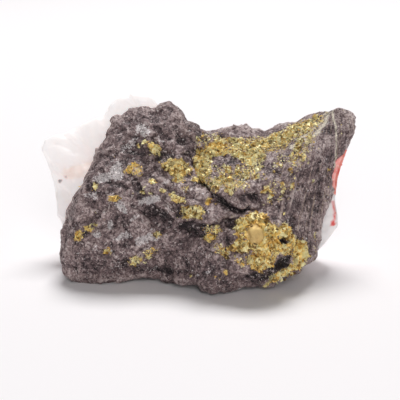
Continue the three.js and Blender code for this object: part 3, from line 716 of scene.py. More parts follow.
# ---- shader building ----
class Nodes:
    """Short names for adding nodes and joining their sockets in one tree."""

    def __init__(self, tree):
        self.tree = tree
        tree.nodes.clear()

    def add(self, kind, inputs=None, **settings):
        """A node with its settings, and its inputs by name or number."""
        node = self.tree.nodes.new(kind)
        for key, value in settings.items():
            setattr(node, key, value)
        for key, value in (inputs or {}).items():
            self.put(node.inputs[key], value)
        return node

    def put(self, socket, value):
        """Joins a socket to another socket, or sets its own value; colours get full alpha."""
        if isinstance(value, bpy.types.NodeSocket):
            self.tree.links.new(value, socket)
        elif socket.type == "RGBA":
            socket.default_value = (*value, 1)
        else:
            socket.default_value = value

    def fill(self, kind, values, **settings):
        """A node whose first inputs take a row of values."""
        return self.add(kind, dict(enumerate(values)), **settings)

    def math(self, operation, *values):
        return self.fill("ShaderNodeMath", values, operation=operation).outputs[0]

    def product(self, first, *others):
        """All the values multiplied together."""
        for value in others:
            first = self.math("MULTIPLY", first, value)
        return first

    def total(self, start, *terms):
        """The start plus each (value, share) term's value times its share."""
        for value, share in terms:
            start = self.math("MULTIPLY_ADD", value, share, start)
        return start

    def vector(self, operation, *values):
        return self.fill("ShaderNodeVectorMath", values, operation=operation)

    def mix(self, factor, a, b, blend="MIX"):
        inputs = {0: factor, 6: a, 7: b}
        return self.add("ShaderNodeMix", inputs, data_type="RGBA", blend_type=blend).outputs[2]

    def layers(self, base, *coats):
        """The base with each (factor, colour) coat laid over it in turn."""
        for factor, colour in coats:
            base = self.mix(factor, base, colour)
        return base

    def span(self, value, a, b, c=0.0, d=1.0):
        """c where the value is a, d where it is b, and an S-curve between them."""
        curve = {"interpolation_type": "SMOOTHSTEP"}
        return self.fill("ShaderNodeMapRange", (value, a, b, c, d), **curve).outputs[0]

    def ramp(self, value, *stops):
        """Colour read off a row of (place, colour) stops, straight between them."""
        node = self.add("ShaderNodeValToRGB", {"Fac": value})
        row = node.color_ramp.elements
        while len(row) < len(stops):
            row.new(0.5)
        for stop, (place, colour) in zip(row, sorted(stops)):
            stop.position, stop.color = place, (*colour, 1)
        return node.outputs[0]

    def mask(self, name, output="Fac"):
        return self.add("ShaderNodeAttribute", attribute_name=name).outputs[output]

    def parts(self, vector):
        return self.add("ShaderNodeSeparateXYZ", {"Vector": vector}).outputs

    def group(self, tree, **inputs):
        """A node group with its inputs by name, spaces written as underlines."""
        named = {key.replace("_", " "): value for key, value in inputs.items()}
        node = self.add("ShaderNodeGroup", node_tree=tree)
        for key, value in named.items():
            self.put(node.inputs[key], value)
        return node

    def bump(self, height, strength, distance_mm):
        """Surface normal from a height, with the relief's depth in millimetres."""
        inputs = {"Height": height, "Strength": strength, "Distance": distance_mm * 0.001}
        return self.add("ShaderNodeBump", inputs).outputs[0]

    def sized_place(self, size):
        """Object coordinates in units of a size in millimetres, plain ones, and the scale."""
        place = self.add("ShaderNodeTexCoord").outputs["Object"]
        scale = self.math("DIVIDE", 1000.0, size)
        sized = self.add("ShaderNodeVectorMath", {0: place, "Scale": scale}, operation="SCALE")
        return sized.outputs[0], place, scale


def new_group(name, inputs, outputs):
    """An empty shader group with named number sockets, and the nodes at its two ends."""
    tree = bpy.data.node_groups.new(name, "ShaderNodeTree")
    for label, default in inputs.items():
        socket = tree.interface.new_socket(label, in_out="INPUT", socket_type="NodeSocketFloat")
        socket.default_value = default
    for label in outputs:
        tree.interface.new_socket(label, in_out="OUTPUT", socket_type="NodeSocketFloat")
    g = Nodes(tree)
    return tree, g, g.add("NodeGroupInput").outputs, g.add("NodeGroupOutput").inputs


def grain_group():
    """Mineral grains: each cell of a size in millimetres gets one random level, plus a fine tooth."""
    inputs = {"Grain mm": 0.4, "Contrast": 0.5, "Seed": 0.0}
    tree, g, start, end = new_group("mineral grains", inputs, ("Level", "Tooth"))
    sized, place, scale = g.sized_place(start["Grain mm"])
    sway = g.add("ShaderNodeTexNoise", {"Vector": sized, "Scale": 0.9, "Detail": 2.0}).outputs["Color"]
    torn = g.vector("MULTIPLY_ADD", sway, (2.2, 2.2, 2.2), sized).outputs[0]
    voronoi = {"Vector": torn, "W": start["Seed"], "Scale": 1.0}
    cells = g.add("ShaderNodeTexVoronoi", voronoi, voronoi_dimensions="4D").outputs["Color"]
    level = g.add("ShaderNodeSeparateColor", {"Color": cells}).outputs[0]
    g.put(end["Level"], g.total(0.5, (g.math("SUBTRACT", level, 0.5), start["Contrast"])))
    noise = {"Vector": place, "Scale": g.product(scale, 0.55), "Detail": 3.0, "Roughness": 0.65}
    g.put(end["Tooth"], g.add("ShaderNodeTexNoise", noise).outputs[0])
    return tree


def cloud_group():
    """Slow change over a surface: one noise of a size in millimetres, spread to the full range."""
    tree, g, start, end = new_group("slow cloud", {"Size mm": 4.0, "Seed": 0.0}, ("Level",))
    _, place, scale = g.sized_place(start["Size mm"])
    noise = {"Vector": place, "W": start["Seed"], "Scale": scale, "Detail": 4.0}
    cloud = g.add("ShaderNodeTexNoise", noise, noise_dimensions="4D").outputs[0]
    g.put(end["Level"], g.span(cloud, 0.32, 0.68))
    return tree


def facet_group():
    """Crystal facets: each cell of a size in millimetres is a plane tipped its own way."""
    tree, g, start, end = new_group("crystal facets", {"Size mm": 0.5, "Seed": 0.0}, ("Level", "Height"))
    sized, _, _ = g.sized_place(start["Size mm"])
    moved = g.vector("ADD", sized, start["Seed"]).outputs[0]
    cells = g.add("ShaderNodeTexVoronoi", {"Vector": moved, "Scale": 1.0}).outputs
    away = g.vector("SUBTRACT", moved, cells["Position"]).outputs[0]
    tip = g.vector("SUBTRACT", cells["Color"], (0.5, 0.5, 0.5)).outputs[0]
    g.put(end["Height"], g.vector("DOT_PRODUCT", away, tip).outputs["Value"])
    g.put(end["Level"], g.add("ShaderNodeSeparateColor", {"Color": cells["Color"]}).outputs[1])
    return tree


GRAINS = grain_group()
FACETS = facet_group()
CLOUD = cloud_group()


def finish_material(name, look, **constants):
    """A Principled material: look() gives the varying sockets, constants the plain ones."""
    material = bpy.data.materials.new(name)
    material.use_nodes = True
    n = Nodes(material.node_tree)
    shader = n.add("ShaderNodeBsdfPrincipled")
    n.add("ShaderNodeOutputMaterial", {"Surface": shader.outputs[0]})
    for key, value in constants.items():
        shader.inputs[key.replace("_", " ")].default_value = value
    for key, value in look(n).items():
        n.put(shader.inputs[key], value)
    return material


# Colours from the darkest tone to the lightest.
ROCK_TONES = (
    (0.00, (0.015, 0.010, 0.011)), (0.20, (0.054, 0.036, 0.039)), (0.40, (0.148, 0.100, 0.102)),
    (0.58, (0.268, 0.187, 0.184)), (0.78, (0.47, 0.358, 0.345)), (1.00, (0.75, 0.62, 0.60)),
)
GOLD_TONES = (
    (0.00, (0.052, 0.024, 0.012)), (0.16, (0.24, 0.122, 0.034)), (0.34, (0.68, 0.405, 0.095)),
    (0.52, (1.0, 0.655, 0.175)), (0.74, (1.0, 0.82, 0.31)), (1.00, (1.0, 0.93, 0.54)),
)
RIB_WIDTHS = (0.44, 0.30, 0.28)  # mm either side of each pale rib


def rib_strokes(n, tooth):
    """Three thin lines from the signed distance to each rib, jogged by a fine tooth."""
    away, shown = n.parts(n.mask("rib", "Vector")), n.parts(n.mask("rib_shown", "Vector"))
    jog = n.product(n.math("SUBTRACT", tooth, 0.5), 0.7)
    strokes = 0.0
    for k, width in enumerate(RIB_WIDTHS):
        across = n.math("ABSOLUTE", n.math("ADD", away[k], jog))
        line = n.product(n.span(across, width, 0.3 * width), shown[k])
        strokes = n.math("MAXIMUM", line, strokes)
    return strokes


def dark_rock_look(n):
    """Grey-brown rock: mottled tone with painted shade in pits, hollows, recesses and low down
    and painted light on crests, white and black grains, tan fan lines, pale bloom, pale ribs,
    dark stains and golden dust."""
    fine = n.group(GRAINS, Grain_mm=0.50, Contrast=1.0, Seed=2.0).outputs
    grain, tooth = fine["Level"], fine["Tooth"]
    tiny = n.group(GRAINS, Grain_mm=0.27, Contrast=1.0, Seed=7.0).outputs["Level"]
    clot = n.group(CLOUD, Size_mm=1.6, Seed=1.0).outputs["Level"]
    slow = n.group(CLOUD, Size_mm=6.0, Seed=5.0).outputs["Level"]
    facets = n.group(FACETS, Size_mm=0.75, Seed=3.0).outputs["Height"]
    fan_place = n.mask("fan", "Vector")
    shown = n.parts(fan_place)["Z"]
    noise = {"Vector": fan_place, "Scale": 1.0, "Detail": 3.0, "Roughness": 0.75}
    lines = n.math("SUBTRACT", n.add("ShaderNodeTexNoise", noise).outputs[0], 0.5)
    lines = n.product(lines, shown)
    level = n.total(n.product(tiny, 0.60), (grain, 0.40))
    pale = n.mask("pale")
    # Painted shade and light: the tone is darkened in hollows, recesses and low down and lifted on crests,
    # besides the dark stains.
    tone = n.total(
        -0.235, (level, 0.64), (clot, 0.16), (slow, 0.22), (n.mask("tone_and_painted_light"), 0.50),
        (lines, 1.25), (shown, 0.03), (n.mask("shade_and_stain"), -0.40), (pale, 0.14),
    )
    white_grains = n.product(n.span(tiny, 0.86, 0.93), n.span(clot, 0.1, 0.9, 0.15, 0.9))
    black_grains = n.product(n.span(grain, 0.16, 0.06), 0.45)
    tan_lines = n.product(n.span(lines, 0.04, 0.18), n.span(grain, 0.2, 0.8, 0.15, 0.7))
    bloom = n.product(n.span(n.total(pale, (level, 0.62)), 0.74, 1.12), 0.95)
    bloom_colour = n.mix(n.span(level, 0.3, 0.7), (0.36, 0.305, 0.305), (0.95, 0.875, 0.87))
    strokes = rib_strokes(n, tooth)
    ribs = n.product(strokes, n.span(tiny, 0.0, 0.5, 0.4, 1.0))
    golden = n.product(n.span(n.mask("gold"), 0.15, 0.9), n.span(n.total(tiny, (clot, 0.35)), 0.55, 0.9))
    base = n.layers(
        n.ramp(tone, *ROCK_TONES),
        (white_grains, (0.66, 0.57, 0.55)),
        (black_grains, (0.024, 0.016, 0.019)),
        (tan_lines, (0.52, 0.385, 0.235)),
        (bloom, bloom_colour),
        (ribs, (0.95, 0.85, 0.70)),
        (golden, (0.78, 0.56, 0.20)),
    )
    height = n.total(tooth, (facets, 1.2), (level, 0.6), (lines, 1.5), (strokes, 0.6))
    rough = n.span(grain, 0.0, 1.0, 0.85, 0.40)
    return {"Base Color": base, "Roughness": rough, "Normal": n.bump(height, 1.0, 0.33)}


def calcite_look(n):
    """Milky calcite: a warm and a cool white, clearer broad facets behind, faint rust stain,
    specks, a thin red line, and a painted glow, by emission, standing in for light coming through where it is
    thin."""
    slow = n.group(CLOUD, Size_mm=7.0, Seed=3.0).outputs["Level"]
    fine = n.group(GRAINS, Grain_mm=0.9, Contrast=0.8, Seed=4.0).outputs
    broad = n.group(FACETS, Size_mm=5.5, Seed=23.0).outputs
    behind = n.mask("behind")
    base = n.layers(
        n.mix(slow, (0.97, 0.88, 0.87), (0.98, 0.915, 0.905)),
        (n.product(n.span(broad["Level"], 0.2, 1.0, 0.15, 0.55), behind), (0.60, 0.545, 0.535)),
        (n.product(n.span(fine["Level"], 0.3, 1.0), 0.06), (0.80, 0.76, 0.77)),
        (n.mask("stain"), (0.60, 0.36, 0.19)),
        (n.mask("speck"), (0.05, 0.04, 0.045)),
        (n.mask("red"), (0.80, 0.09, 0.08)),
    )
    # Painted glow: emission in the calcite's own colour where light would pass through it.
    painted_glow = n.mix(n.mask("painted_glow"), (0.0, 0.0, 0.0), base)
    rough = n.span(fine["Level"], 0.0, 1.0, 0.55, 0.32)
    height = n.total(fine["Tooth"], (broad["Height"], n.product(behind, 3.0)))
    return {
        "Base Color": base, "Emission Color": painted_glow, "Roughness": rough,
        "Normal": n.bump(height, 0.5, 0.30),
    }


def orpiment_look(n):
    """Golden orpiment: olive to orange ground, khaki where plain, painted glints as bright specks,
    painted brown shade in hollows and painted light on crests, dark brown specks, tipped facets that flatten
    out where plain."""
    slow = n.group(CLOUD, Size_mm=2.2, Seed=8.0).outputs["Level"]
    broad = n.group(FACETS, Size_mm=1.7, Seed=17.0).outputs
    fine = n.group(FACETS, Size_mm=0.70, Seed=9.0).outputs
    tiny = n.group(FACETS, Size_mm=0.34, Seed=11.0).outputs
    plain, hue = n.mask("plain"), n.mask("hue")
    plainer = n.product(plain, plain)
    rugged = n.math("SUBTRACT", 1.0, plain)
    level = n.total(n.product(tiny["Level"], 0.5), (fine["Level"], 0.5))
    # The crest mask puts painted shade in hollows and painted light on crests into the tone.
    tone = n.total(
        -0.035, (n.math("SUBTRACT", level, 0.5), n.total(0.56, (plain, -0.40))), (slow, 0.20),
        (broad["Level"], 0.20), (n.mask("tone_and_painted_light"), 0.90),
    )
    golden = n.ramp(tone, *GOLD_TONES)
    olive = n.mix(0.7, golden, (0.90, 0.91, 1.0), "MULTIPLY")
    orange = n.mix(0.85, golden, (1.0, 0.80, 0.42), "MULTIPLY")
    # Painted glints: pale yellow specks standing in for light caught by small facets.
    painted_glint = n.mix(n.span(hue, 0.48, 0.30), (1.0, 0.86, 0.38), (1.0, 0.95, 0.70))
    base = n.layers(
        golden,
        (n.span(hue, 0.38, 0.12), olive),
        (n.span(hue, 0.55, 0.95), orange),
        (n.span(plain, 0.7, 1.0, 0.0, 0.65), (0.70, 0.52, 0.25)),
        (n.product(n.span(tiny["Level"], 0.84, 0.92), rugged, 0.75), painted_glint),
        (n.product(n.span(fine["Level"], 0.16, 0.08), rugged, 0.7), (0.13, 0.07, 0.024)),
    )
    rough = n.total(n.span(level, 0.0, 1.0, 0.50, 0.26), (plainer, 0.4))
    height = n.total(fine["Height"], (tiny["Height"], 0.45))
    height = n.product(height, n.total(1.0, (plain, -0.85)))
    height = n.total(height, (broad["Height"], n.total(1.6, (plainer, -1.5))))
    return {"Base Color": base, "Roughness": rough, "Normal": n.bump(height, 1.0, 0.70)}


def realgar_look(n):
    """Vivid red realgar: deep and light red in slow clouds, pale grain tips as painted highlights,
    darker where deep.
    """
    slow = n.group(CLOUD, Size_mm=1.8, Seed=12.0).outputs["Level"]
    fine = n.group(GRAINS, Grain_mm=0.4, Contrast=1.0, Seed=13.0).outputs
    base = n.layers(
        n.mix(slow, (0.87, 0.11, 0.085), (0.95, 0.265, 0.21)),
        # Painted highlights: pale pink on the brightest grains.
        (n.product(n.span(fine["Level"], 0.6, 1.0), 0.6), (0.96, 0.50, 0.40)),
        (n.product(n.mask("deep"), n.span(fine["Level"], 0.0, 1.0, 1.0, 0.55)), (0.52, 0.035, 0.022)),
    )
    rough = n.span(fine["Level"], 0.0, 1.0, 0.4, 0.22)
    return {"Base Color": base, "Roughness": rough, "Normal": n.bump(fine["Tooth"], 0.3, 0.08)}


MATERIALS = {
    "dark_rock": finish_material("dark matrix rock", dark_rock_look, Specular_IOR_Level=0.5),
    # The calcite's emission strength sets its painted glow.
    "calcite": finish_material(
        "milky calcite", calcite_look, Subsurface_Weight=0.7, Subsurface_Scale=0.005,
        Subsurface_Radius=(1.0, 0.9, 0.85), Specular_IOR_Level=0.4, Emission_Strength=0.24,
    ),
    "orpiment": finish_material(
        "golden orpiment", orpiment_look, IOR=2.1, Metallic=0.25, Specular_Tint=(1.0, 0.84, 0.48, 1),
    ),
    "realgar": finish_material("red realgar", realgar_look, IOR=1.8),
}


# ---- the pieces ----
KNOB = (10.1, -6.3)  # middle of the smooth knob on the nodule, u and w
KNOB_TURN = 10  # degrees
FACE_TOP, FACE_FOOT, FACE_STEPS = 17.0, -7.0, 40  # depths in mm that the search for the face spans
CRUST_UNDER, FILM_UNDER = 0.75, 0.7  # mm that their undersides lie below what carries them
CORNERS = 6  # corners of one shard
PRISMS, ON_EDGE = 36, 18  # the solid's realgar prisms, and how many of them stand on the right end
# The thin red line at the calcite's right end, from its top to the red dot at its foot.
RED_LINE = [(26.7, -0.4), (27.1, -2.6), (27.0, -3.8), (26.7, -4.7)]
RED_LINE_HALF = 0.26  # mm
# Stains and specks on the calcite: u, w, half sizes, turn in degrees, strength.
STAINS = [(-25.6, 5.8, 3.0, 1.2, 10, 0.26), (-22.6, 6.6, 1.6, 1.4, 0, 0.24)]
SPECKS = [(-28.6, 3.8, 0.5, 0.4, 0, 0.8), (-27.4, 4.6, 0.3, 0.3, 0, 0.4)]


def relief_fine(p):
    """Small broken relief: chips and noise of falling size, less deep round pits."""
    u, w, d = p.T
    pits = smooth(value_noise(u, w, d, 1.0, 95), 0.35, 0.8)
    pits = pits + 0.8 * smooth(value_noise(u, w, d, 0.62, 96), 0.35, 0.8)
    facets = 0.55 * chips(u, w, d, 3.1, 81, 0.10) + 0.20 * chips(u, w, d, 1.4, 101, 0.12)
    return facets + noises(u, w, d, (0.05, 0.85, 91), (0.05, 0.55, 92)) - 0.06 * pits


def make_dust(p, quads, strength):
    """Loose golden flakes on the rock, thickest where the ground is half golden."""
    rng = np.random.default_rng(9)
    count = 7000
    sizes = (0.16, 0.4, 0.06, 0.36)
    weight = np.clip(strength - 0.15, 0, 1) ** 1.3 * smooth(-strength, -1.0, -0.7)
    flakes, sides, near = strewn_shards(p, quads, weight, count, sizes, 0.03, 0.3, rng)
    tone = np.repeat(0.1 + 1.2 * rng.beta(0.6, 0.5, count), CORNERS)
    hue = np.repeat(golden_ground(p[near, 0], p[near, 1])[1], CORNERS)
    masks = {"tone_and_painted_light": tone, "hue": hue, "plain": np.full(CORNERS * count, 0.7)}
    make_piece("orpiment_dust", flakes, sides, "orpiment", masks, soft=False)


def make_rock():
    """The dark rock: its skin moved along its normals by the fine relief, with a mask for each
    thing that colours it, white grains in its pale patches and golden dust."""
    p, quads = skin(bare_rock, rock_field, ROCK_RIM, ROCK_CENTRE, rim_depth, ROCK_BOX, ROCK_CELLS)
    p = p + vertex_normals(p, quads) * relief_fine(p)[:, None]
    u, w, d = p.T
    front = smooth(d + 5 * smooth(u, 12, 23), -4.0, 0.0)
    strength, _ = golden_ground(u, w)
    pale = field_mask(u, w, PALE_FIELDS, 211, 0.45) * front
    pale = np.maximum(pale, 0.4 * smooth(value_noise(u, w, d, 1.9, 261), 0.5, 0.85))
    # Painted shade in hollows and dark stains from the ovals, and painted shade that darkens the rock towards
    # its underside.
    shade_and_stain = field_mask(u, w, SHADE_AND_STAIN_FIELDS, 221, 0.4) * front + 0.3 * smooth(-w, 9, 15)
    away, shown = pale_ribs(u, w)
    fan_place = fan_lines(u, w)
    fan_place[:, 2] *= front
    masks = {
        # painted shade in hollows and painted light on crests
        "tone_and_painted_light": crests(p, quads, vertex_normals(p, quads)),
        "gold": np.clip(strength, 0, 1) * front,
        "pale": pale,
        # painted shade along the open crack as well
        "shade_and_stain": np.maximum(shade_and_stain, crack_line(u, w)),
        "rib": away,
        "rib_shown": shown * front[:, None],
        "fan": fan_place,
    }
    rng = np.random.default_rng(6)
    count = 1800
    sizes = (0.13, 0.45, 0.05, 0.36)
    white, sides, _ = strewn_shards(p, quads, pale**3 + 0.004, count, sizes, 0.03, 0.6, rng)
    clean = dict.fromkeys(("stain", "speck", "red", "painted_glow", "behind"), np.zeros(len(white)))
    make_piece("calcite_grains", white, sides, "calcite", clean, soft=False)
    make_dust(p, quads, strength * front)
    make_piece("rock", p, quads, "dark_rock", masks)


def make_calcite(p, quads):
    """The calcite: its skin with fine cleavage chips, faint stains, a few specks, a thin red
    line, and a painted glow, by emission, standing in for light coming through."""
    fine = 0.10 * chips(*p.T, 1.9, 121) + 0.04 * value_noise(*p.T, 0.8, 122)
    p = p + vertex_normals(p, quads) * fine[:, None]
    u, w, d = p.T
    hidden = smooth(-d, 8, 12)
    rust = value_noise(u, w, 0.4 * d, 7.0, 225) + 0.4 * value_noise(u, w, d, 2.2, 226)
    rust = (0.10 + 0.14 * hidden) * smooth(rust, 0.4, 1.0)
    dirt = noises(u, w, d, (1.0, 0.7, 233), (0.5, 6.0, 234))
    dirt = 0.7 * hidden * smooth(dirt, 1.0, 1.12)
    away, past = path_distance(u + 0.1 * value_noise(u, w, d, 0.8, 235), w, RED_LINE)
    line = np.exp(-((away / RED_LINE_HALF) ** 2) - past**2)
    line = line * smooth(value_noise(u, w, d, 1.1, 236), -0.9, -0.2)
    foot_u, foot_w = RED_LINE[-1]
    dot = 1 - smooth(np.hypot(u - foot_u, w - foot_w), 0.35, 0.65)
    # Painted glow at both thin ends, weaker towards the foot.
    painted_glow_reach = np.maximum(smooth(-u, -22, -2), 0.4 * smooth(u, 20, 26))
    masks = {
        "stain": np.maximum(field_mask(u, w, STAINS, 221, 0.6), rust),
        "speck": np.maximum(field_mask(u, w, SPECKS, 231, 0.15), dirt),
        "red": np.maximum(line, dot) * smooth(d, -6.5, -5.5),
        "painted_glow": painted_glow_reach * smooth(d, -13, -8) * (0.6 + 0.4 * smooth(w, -3, 9)),
        "behind": smooth(-d, 8, 13),
    }
    make_piece("calcite_back", p, quads, "calcite", masks)


def window_grid(u0, u1, w0, w1, pitch):
    """Places and quads of a flat grid over a window of the face, facing out of it."""
    gu, gw = np.arange(u0, u1 + pitch, pitch), np.arange(w0, w1 + pitch, pitch)
    grid_u, grid_w = np.meshgrid(gu, gw, indexing="ij")
    n = np.arange(grid_u.size).reshape(grid_u.shape)
    quads = np.stack([n[:-1, :-1], n[1:, :-1], n[1:, 1:], n[:-1, 1:]], -1).reshape(-1, 4)
    return grid_u.ravel(), grid_w.ravel(), quads


def make_crust(name, window, pitch, seed, coarse, calm, flake_count, flake_mm, flake_tones):
    """A crust that hugs the rock where the ground is golden enough to beat ragged noise, and its
    flakes. The lumps grow with coarse; calm makes the gold plainer."""
    u, w, quads = window_grid(*window, pitch)
    foot = np.stack([u, w, 0 * u], 1)
    path = StraightPath(foot, foot + (0, 0, 1))
    p = surface(bare_rock, rock_field, path, FACE_TOP, FACE_FOOT, FACE_STEPS)
    n = vertex_normals(p, quads)
    d = p[:, 2]
    p = p + n * relief_fine(p)[:, None]
    strength, hue = golden_ground(u, w)
    cover = smooth(strength - 0.5 + 0.55 * ragged(u, w, 291), 0.0, 0.12)
    knob = smooth(oval(u, w, *KNOB, 1.6, 2.0, KNOB_TURN), 1.15, 0.75)
    body = smooth(crust_thickness(u, w), 0.1, 1.4) * (1 - 0.6 * knob)
    lumps = noises(u, w, d, (0.30, 2.4 * coarse, 301), (0.03, 0.45, 331))
    lumps = lumps + 0.50 * chips(u, w, d, 1.9 * coarse, 311, 0.08)
    lumps = lumps + 0.36 * chips(u, w, d, 0.9 * coarse, 321, 0.10)
    rise = cover * (0.16 + 0.26 * body + lumps * (0.50 + 1.0 * body)) - 0.3 * (1 - cover)
    top = p + n * (rise + 0.3 * hill(u, w, *KNOB, 1.4, 1.8, KNOB_TURN))[:, None]
    lowest = -1.0 - 4.5 * smooth(u, 14, 24)
    keep = (cover[quads].max(1) > 0.0) & ((d - lowest)[quads].min(1) > 0)
    points, faces, used = closed_patch(top, quads, keep, p - n * CRUST_UNDER)
    near, far = int(10 * coarse), int(90 * coarse**2)
    # Painted shade in the crust's hollows and painted light on its crests.
    tone_and_painted_light = crests(top, quads, vertex_normals(top, quads), near, far, 0.12, 0.34 * coarse)
    # Painted light: the upper band, which faces up, is lifted.
    tone_and_painted_light = tone_and_painted_light + 0.13 * smooth(w, 4, 8)
    tone_and_painted_light = (tone_and_painted_light * (1 - 0.75 * knob) + 0.11 * knob)[used]
    hue = (hue * (1 - knob) + 0.10 * knob)[used]
    plain = np.maximum(knob, calm)[used]
    rng = np.random.default_rng(seed)
    count = flake_count
    sizes = (flake_mm, 0.45, 0.08, 3 * flake_mm)
    weight = cover[used] ** 2 * (1 - knob[used])
    sheet = top[used], faces[: keep.sum()]
    flakes, sides, near = strewn_shards(*sheet, weight, count, sizes, -0.02, 0.2, rng)
    low, high = flake_tones
    tone = np.repeat(low + (high - low) * rng.beta(0.55, 0.6, count), CORNERS)
    # Painted light: flakes on the up-facing upper band are lifted too.
    tone = tone + 0.13 * smooth(flakes[:, 1], 4, 8)
    flat = np.full(CORNERS * count, 0.3 + 0.5 * calm)
    masks = {"tone_and_painted_light": tone, "hue": np.repeat(hue[near], CORNERS), "plain": flat}
    make_piece(name + "_flakes", flakes, sides, "orpiment", masks, soft=False)
    masks = {"tone_and_painted_light": np.tile(tone_and_painted_light, 2), "hue": np.tile(hue, 2), "plain": np.tile(plain, 2)}
    make_piece(name, points, faces, "orpiment", masks)


def crystal_places():
    """Seats, axes, radii, heights and turns of the realgar prisms, from the solid's own numbers:
    the first half stand on the right end, the others on the back."""
    n = np.arange(PRISMS)
    same = np.ones(PRISMS, np.int64)

    def r(m):
        return cell_hash(n, m * same, 7 * same, 91)

    edge = n < ON_EDGE
    w = np.where(edge, 0.5 + 9 * r(2), -6 + 14 * r(2))
    far = np.stack([np.where(edge, 40, 11 + 15 * r(1)), w, np.where(edge, -3.6 - 6.5 * r(3), -30)], 1)
    near = np.stack([np.where(edge, 10, far[:, 0]), w, np.where(edge, far[:, 2], -9)], 1)
    line = StraightPath(near, far)
    found = walk_in(calcite_field, line, 1.0, 0.0, 80)
    seat = np.stack(line(halve(calcite_field, line, found, found + 1 / 80, 14)), 1)
    back_axis = np.stack([0.35 * r(4), 0.2 * same, -1.0 * same], 1)
    edge_axis = np.stack([1.0 * same, 0.1 * same, -0.3 * r(4)], 1)
    out = np.where(edge[:, None], edge_axis, back_axis)
    out = unit(out + 0.9 * (np.stack([r(5), r(6), r(7)], 1) - 0.5))
    radius = np.where(edge, 0.2, 0.55) + np.where(edge, 0.15, 0.45) * r(8)
    height = radius * np.where(edge, 0.7 + 0.5 * r(9), 1.5 + 0.9 * r(9))
    sunk = np.where(edge, 0.4, 0.8) * radius
    return seat - sunk[:, None] * out, out, radius, height, 3 * r(10)


def prisms(seat, out, radius, height, spin):
    """Six-sided prisms with bevelled ends: five rings of corners set along each axis."""
    rings = np.array([[0.01, 0.0], [0.92, 0.0], [1.0, 1.0], [0.45, 1.35], [0.01, 1.35]])
    side = unit(np.cross(out, np.array([0.13, 0.98, 0.11])))
    third = np.cross(out, side)
    angle = spin[:, None] + np.arange(6) * math.pi / 3
    around = side[:, None] * np.cos(angle)[..., None] + third[:, None] * 0.72 * np.sin(angle)[..., None]
    wide, up = rings[:, 0] * radius[:, None], rings[:, 1] * height[:, None]
    points = seat[:, None, None] + around[:, None] * wide[..., None, None]
    points = points + out[:, None, None] * up[..., None, None]
    a = np.arange(6)
    b = (a + 1) % 6
    bands = [np.stack([k * 6 + a, k * 6 + b, k * 6 + 6 + b, k * 6 + 6 + a], 1) for k in range(4)]
    faces = (np.arange(len(seat)) * 30)[:, None, None] + np.concatenate(bands)[None]
    return points.reshape(-1, 3), faces.reshape(-1, 4)


def make_crystals(film, quads, weight):
    """The solid's realgar prisms, and small ones strewn over the hidden part of the film."""
    seat, out, radius, height, spin = crystal_places()
    rng = np.random.default_rng(12)
    count = 260
    spots, lift, _ = strew(film, quads, weight, count, rng)
    lean = unit(lift + 0.75 * rng.normal(size=(count, 3)))
    thick = rng.lognormal(math.log(0.26), 0.4, count).clip(0.12, 0.62)
    tall = thick * rng.uniform(1.2, 3.2, count)
    points, faces = prisms(
        np.concatenate([seat, spots - 0.5 * thick[:, None] * lean]),
        np.concatenate([out, lean]),
        np.concatenate([radius, thick]),
        np.concatenate([height, tall]),
        np.concatenate([spin, rng.uniform(0, 3, count)]),
    )
    masks = {"deep": smooth(-points[:, 2], 5.5, 9.0)}
    make_piece("realgar_crystals", points, faces, "realgar", masks, soft=False)


def make_realgar_film(p, quads):
    """A thin red crust over the calcite's right end and part of its back, closed underneath,
    that breaks up into patches towards the back; and the prisms that stand on it."""
    n = vertex_normals(p, quads)
    u, w, d = p.T
    wander = noises(u, w, d, (0.5, 2.6, 401), (0.4, 1.1, 402))
    fray = wander + noises(u, w, d, (0.35, 5.0, 403), (0.35, 0.6, 404))
    hidden = smooth(-d, 4.8, 7.0)
    band = smooth(u + 0.4 * wander + 1.5 * hidden, 25.0, 25.8)
    band = band * (1 - smooth(np.abs(w - 6.2 + 0.4 * wander) + (0.8 + 1.8 * hidden) * fray, 4.6, 5.4))
    band = smooth(1.1 * band - 0.8 * smooth(-d, 5.5, 11.5) + 0.7 * hidden * fray, 0.42, 0.58)
    back = 1 - smooth(oval(u + 2 * wander, w - 2 * wander, 19.5, 2.2, 7.5, 5.0, -14), 0.2, 1.15)
    back = smooth(0.95 * back * smooth(-d, 7, 10) + 0.75 * fray, 0.55, 0.72)
    cover = np.maximum(band, back)
    deep = smooth(-d, 5.5, 9.0)
    lumps = 0.08 * chips(u, w, d, 1.3, 421) + 0.04 * value_noise(u, w, d, 0.6, 431)
    knots = 0.22 * chips(u, w, d, 1.0, 441, 0.1) + 0.10 * value_noise(u, w, d, 0.5, 451)
    rise = cover * (0.16 + lumps + deep * knots) - 0.25 * (1 - cover)
    top = p + n * rise[:, None]
    keep = cover[quads].max(1) > 0.04
    points, faces, used = closed_patch(top, quads, keep, p - n * FILM_UNDER)
    make_crystals(top, quads, (cover * deep) ** 2)
    masks = {"deep": np.tile(deep[used], 2)}
    make_piece("realgar_film", points, faces, "realgar", masks)


make_rock()
calcite_rim = (CALCITE_RIM, CALCITE_CENTRE, calcite_depth)
calcite_skin = skin(bare_calcite, calcite_field, *calcite_rim, CALCITE_BOX, CALCITE_CELLS)
make_calcite(*calcite_skin)
make_crust(
    "orpiment_nodule", (-0.5, 24.5, -17.5, 2.6), 0.13, seed=31,
    coarse=1.5, calm=0.45, flake_count=1700, flake_mm=0.38, flake_tones=(0.0, 1.2),
)
make_crust(
    "orpiment_shelf", (-0.5, 26.5, 2.6, 18.4), 0.14, seed=32,
    coarse=1.0, calm=0.0, flake_count=8000, flake_mm=0.24, flake_tones=(-0.15, 1.65),
)
make_crust(
    "orpiment_blebs", (-27.0, -0.5, -15.0, 13.0), 0.16, seed=33,
    coarse=1.2, calm=0.1, flake_count=2600, flake_mm=0.25, flake_tones=(-0.12, 1.5),
)
make_realgar_film(*calcite_skin)

# ---- floor, light and camera ----
VIEW_DISTANCE = 244.0  # mm from the face frame's origin to the camera, straight out of the face
VIEW_WIDTH = 80.0  # mm of the object's plane that the square picture spans


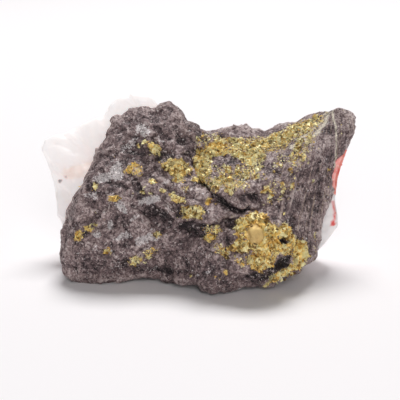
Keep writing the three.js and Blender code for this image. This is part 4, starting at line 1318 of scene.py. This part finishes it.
def make_floor():
    """A wide pale floor at the level that the stone stands on."""
    half = 3.0
    corners = [(-half, -half, 0), (half, -half, 0), (half, half, 0), (-half, half, 0)]
    mesh = bpy.data.meshes.new("floor")
    mesh.from_pydata(corners, [], [(0, 1, 2, 3)])
    floor = bpy.data.objects.new("floor", mesh)
    bpy.context.scene.collection.objects.link(floor)

    def look(n):
        """White card with the faintest slow change in tone."""
        slow = n.group(CLOUD, Size_mm=400.0, Seed=20.0).outputs["Level"]
        return {"Base Color": n.mix(slow, (0.93, 0.905, 0.915), (0.94, 0.915, 0.925))}

    mesh.materials.append(finish_material("white card", look, Roughness=0.85, Specular_IOR_Level=0.1))


def soft_light(name, place, aim, size, energy, colour=(1, 1, 1)):
    """A square area light at a place in metres, turned to shine at a point."""
    data = bpy.data.lights.new(name, "AREA")
    data.shape, data.size, data.energy, data.color = "SQUARE", size, energy, colour
    lamp = bpy.data.objects.new(name, data)
    lamp.location = place
    lamp.rotation_euler = (Vector(aim) - Vector(place)).to_track_quat("-Z", "Y").to_euler()
    bpy.context.scene.collection.objects.link(lamp)


make_floor()
soft_light("back softbox", (0.07, 0.44, 1.05), (0, 0, 0.012), 0.50, 11.5)
soft_light("front fill", (0.1, -1.2, 0.6), (0, 0, 0.015), 0.6, 6.0)

world = bpy.data.worlds.new("pale studio")
world.use_nodes = True
world.node_tree.nodes["Background"].inputs["Color"].default_value = (1.0, 0.985, 0.995, 1)
world.node_tree.nodes["Background"].inputs["Strength"].default_value = 0.14
bpy.context.scene.world = world
bpy.context.scene.view_settings.view_transform = "Standard"

camera_data = bpy.data.cameras.new("camera")
camera_data.sensor_width = 36.0
camera_data.lens = 36.0 * VIEW_DISTANCE / VIEW_WIDTH
camera_data.clip_start, camera_data.clip_end = 0.01, 20.0
camera = bpy.data.objects.new("camera", camera_data)
camera.location = (
    SHIFT_X * 0.001,
    (-VIEW_DISTANCE * math.cos(LEAN) + SHIFT_Y) * 0.001,
    (VIEW_DISTANCE * math.sin(LEAN) + SEAT) * 0.001,
)
camera.rotation_euler = (math.pi / 2 - LEAN, 0, 0)
bpy.context.scene.collection.objects.link(camera)
bpy.context.scene.camera = camera
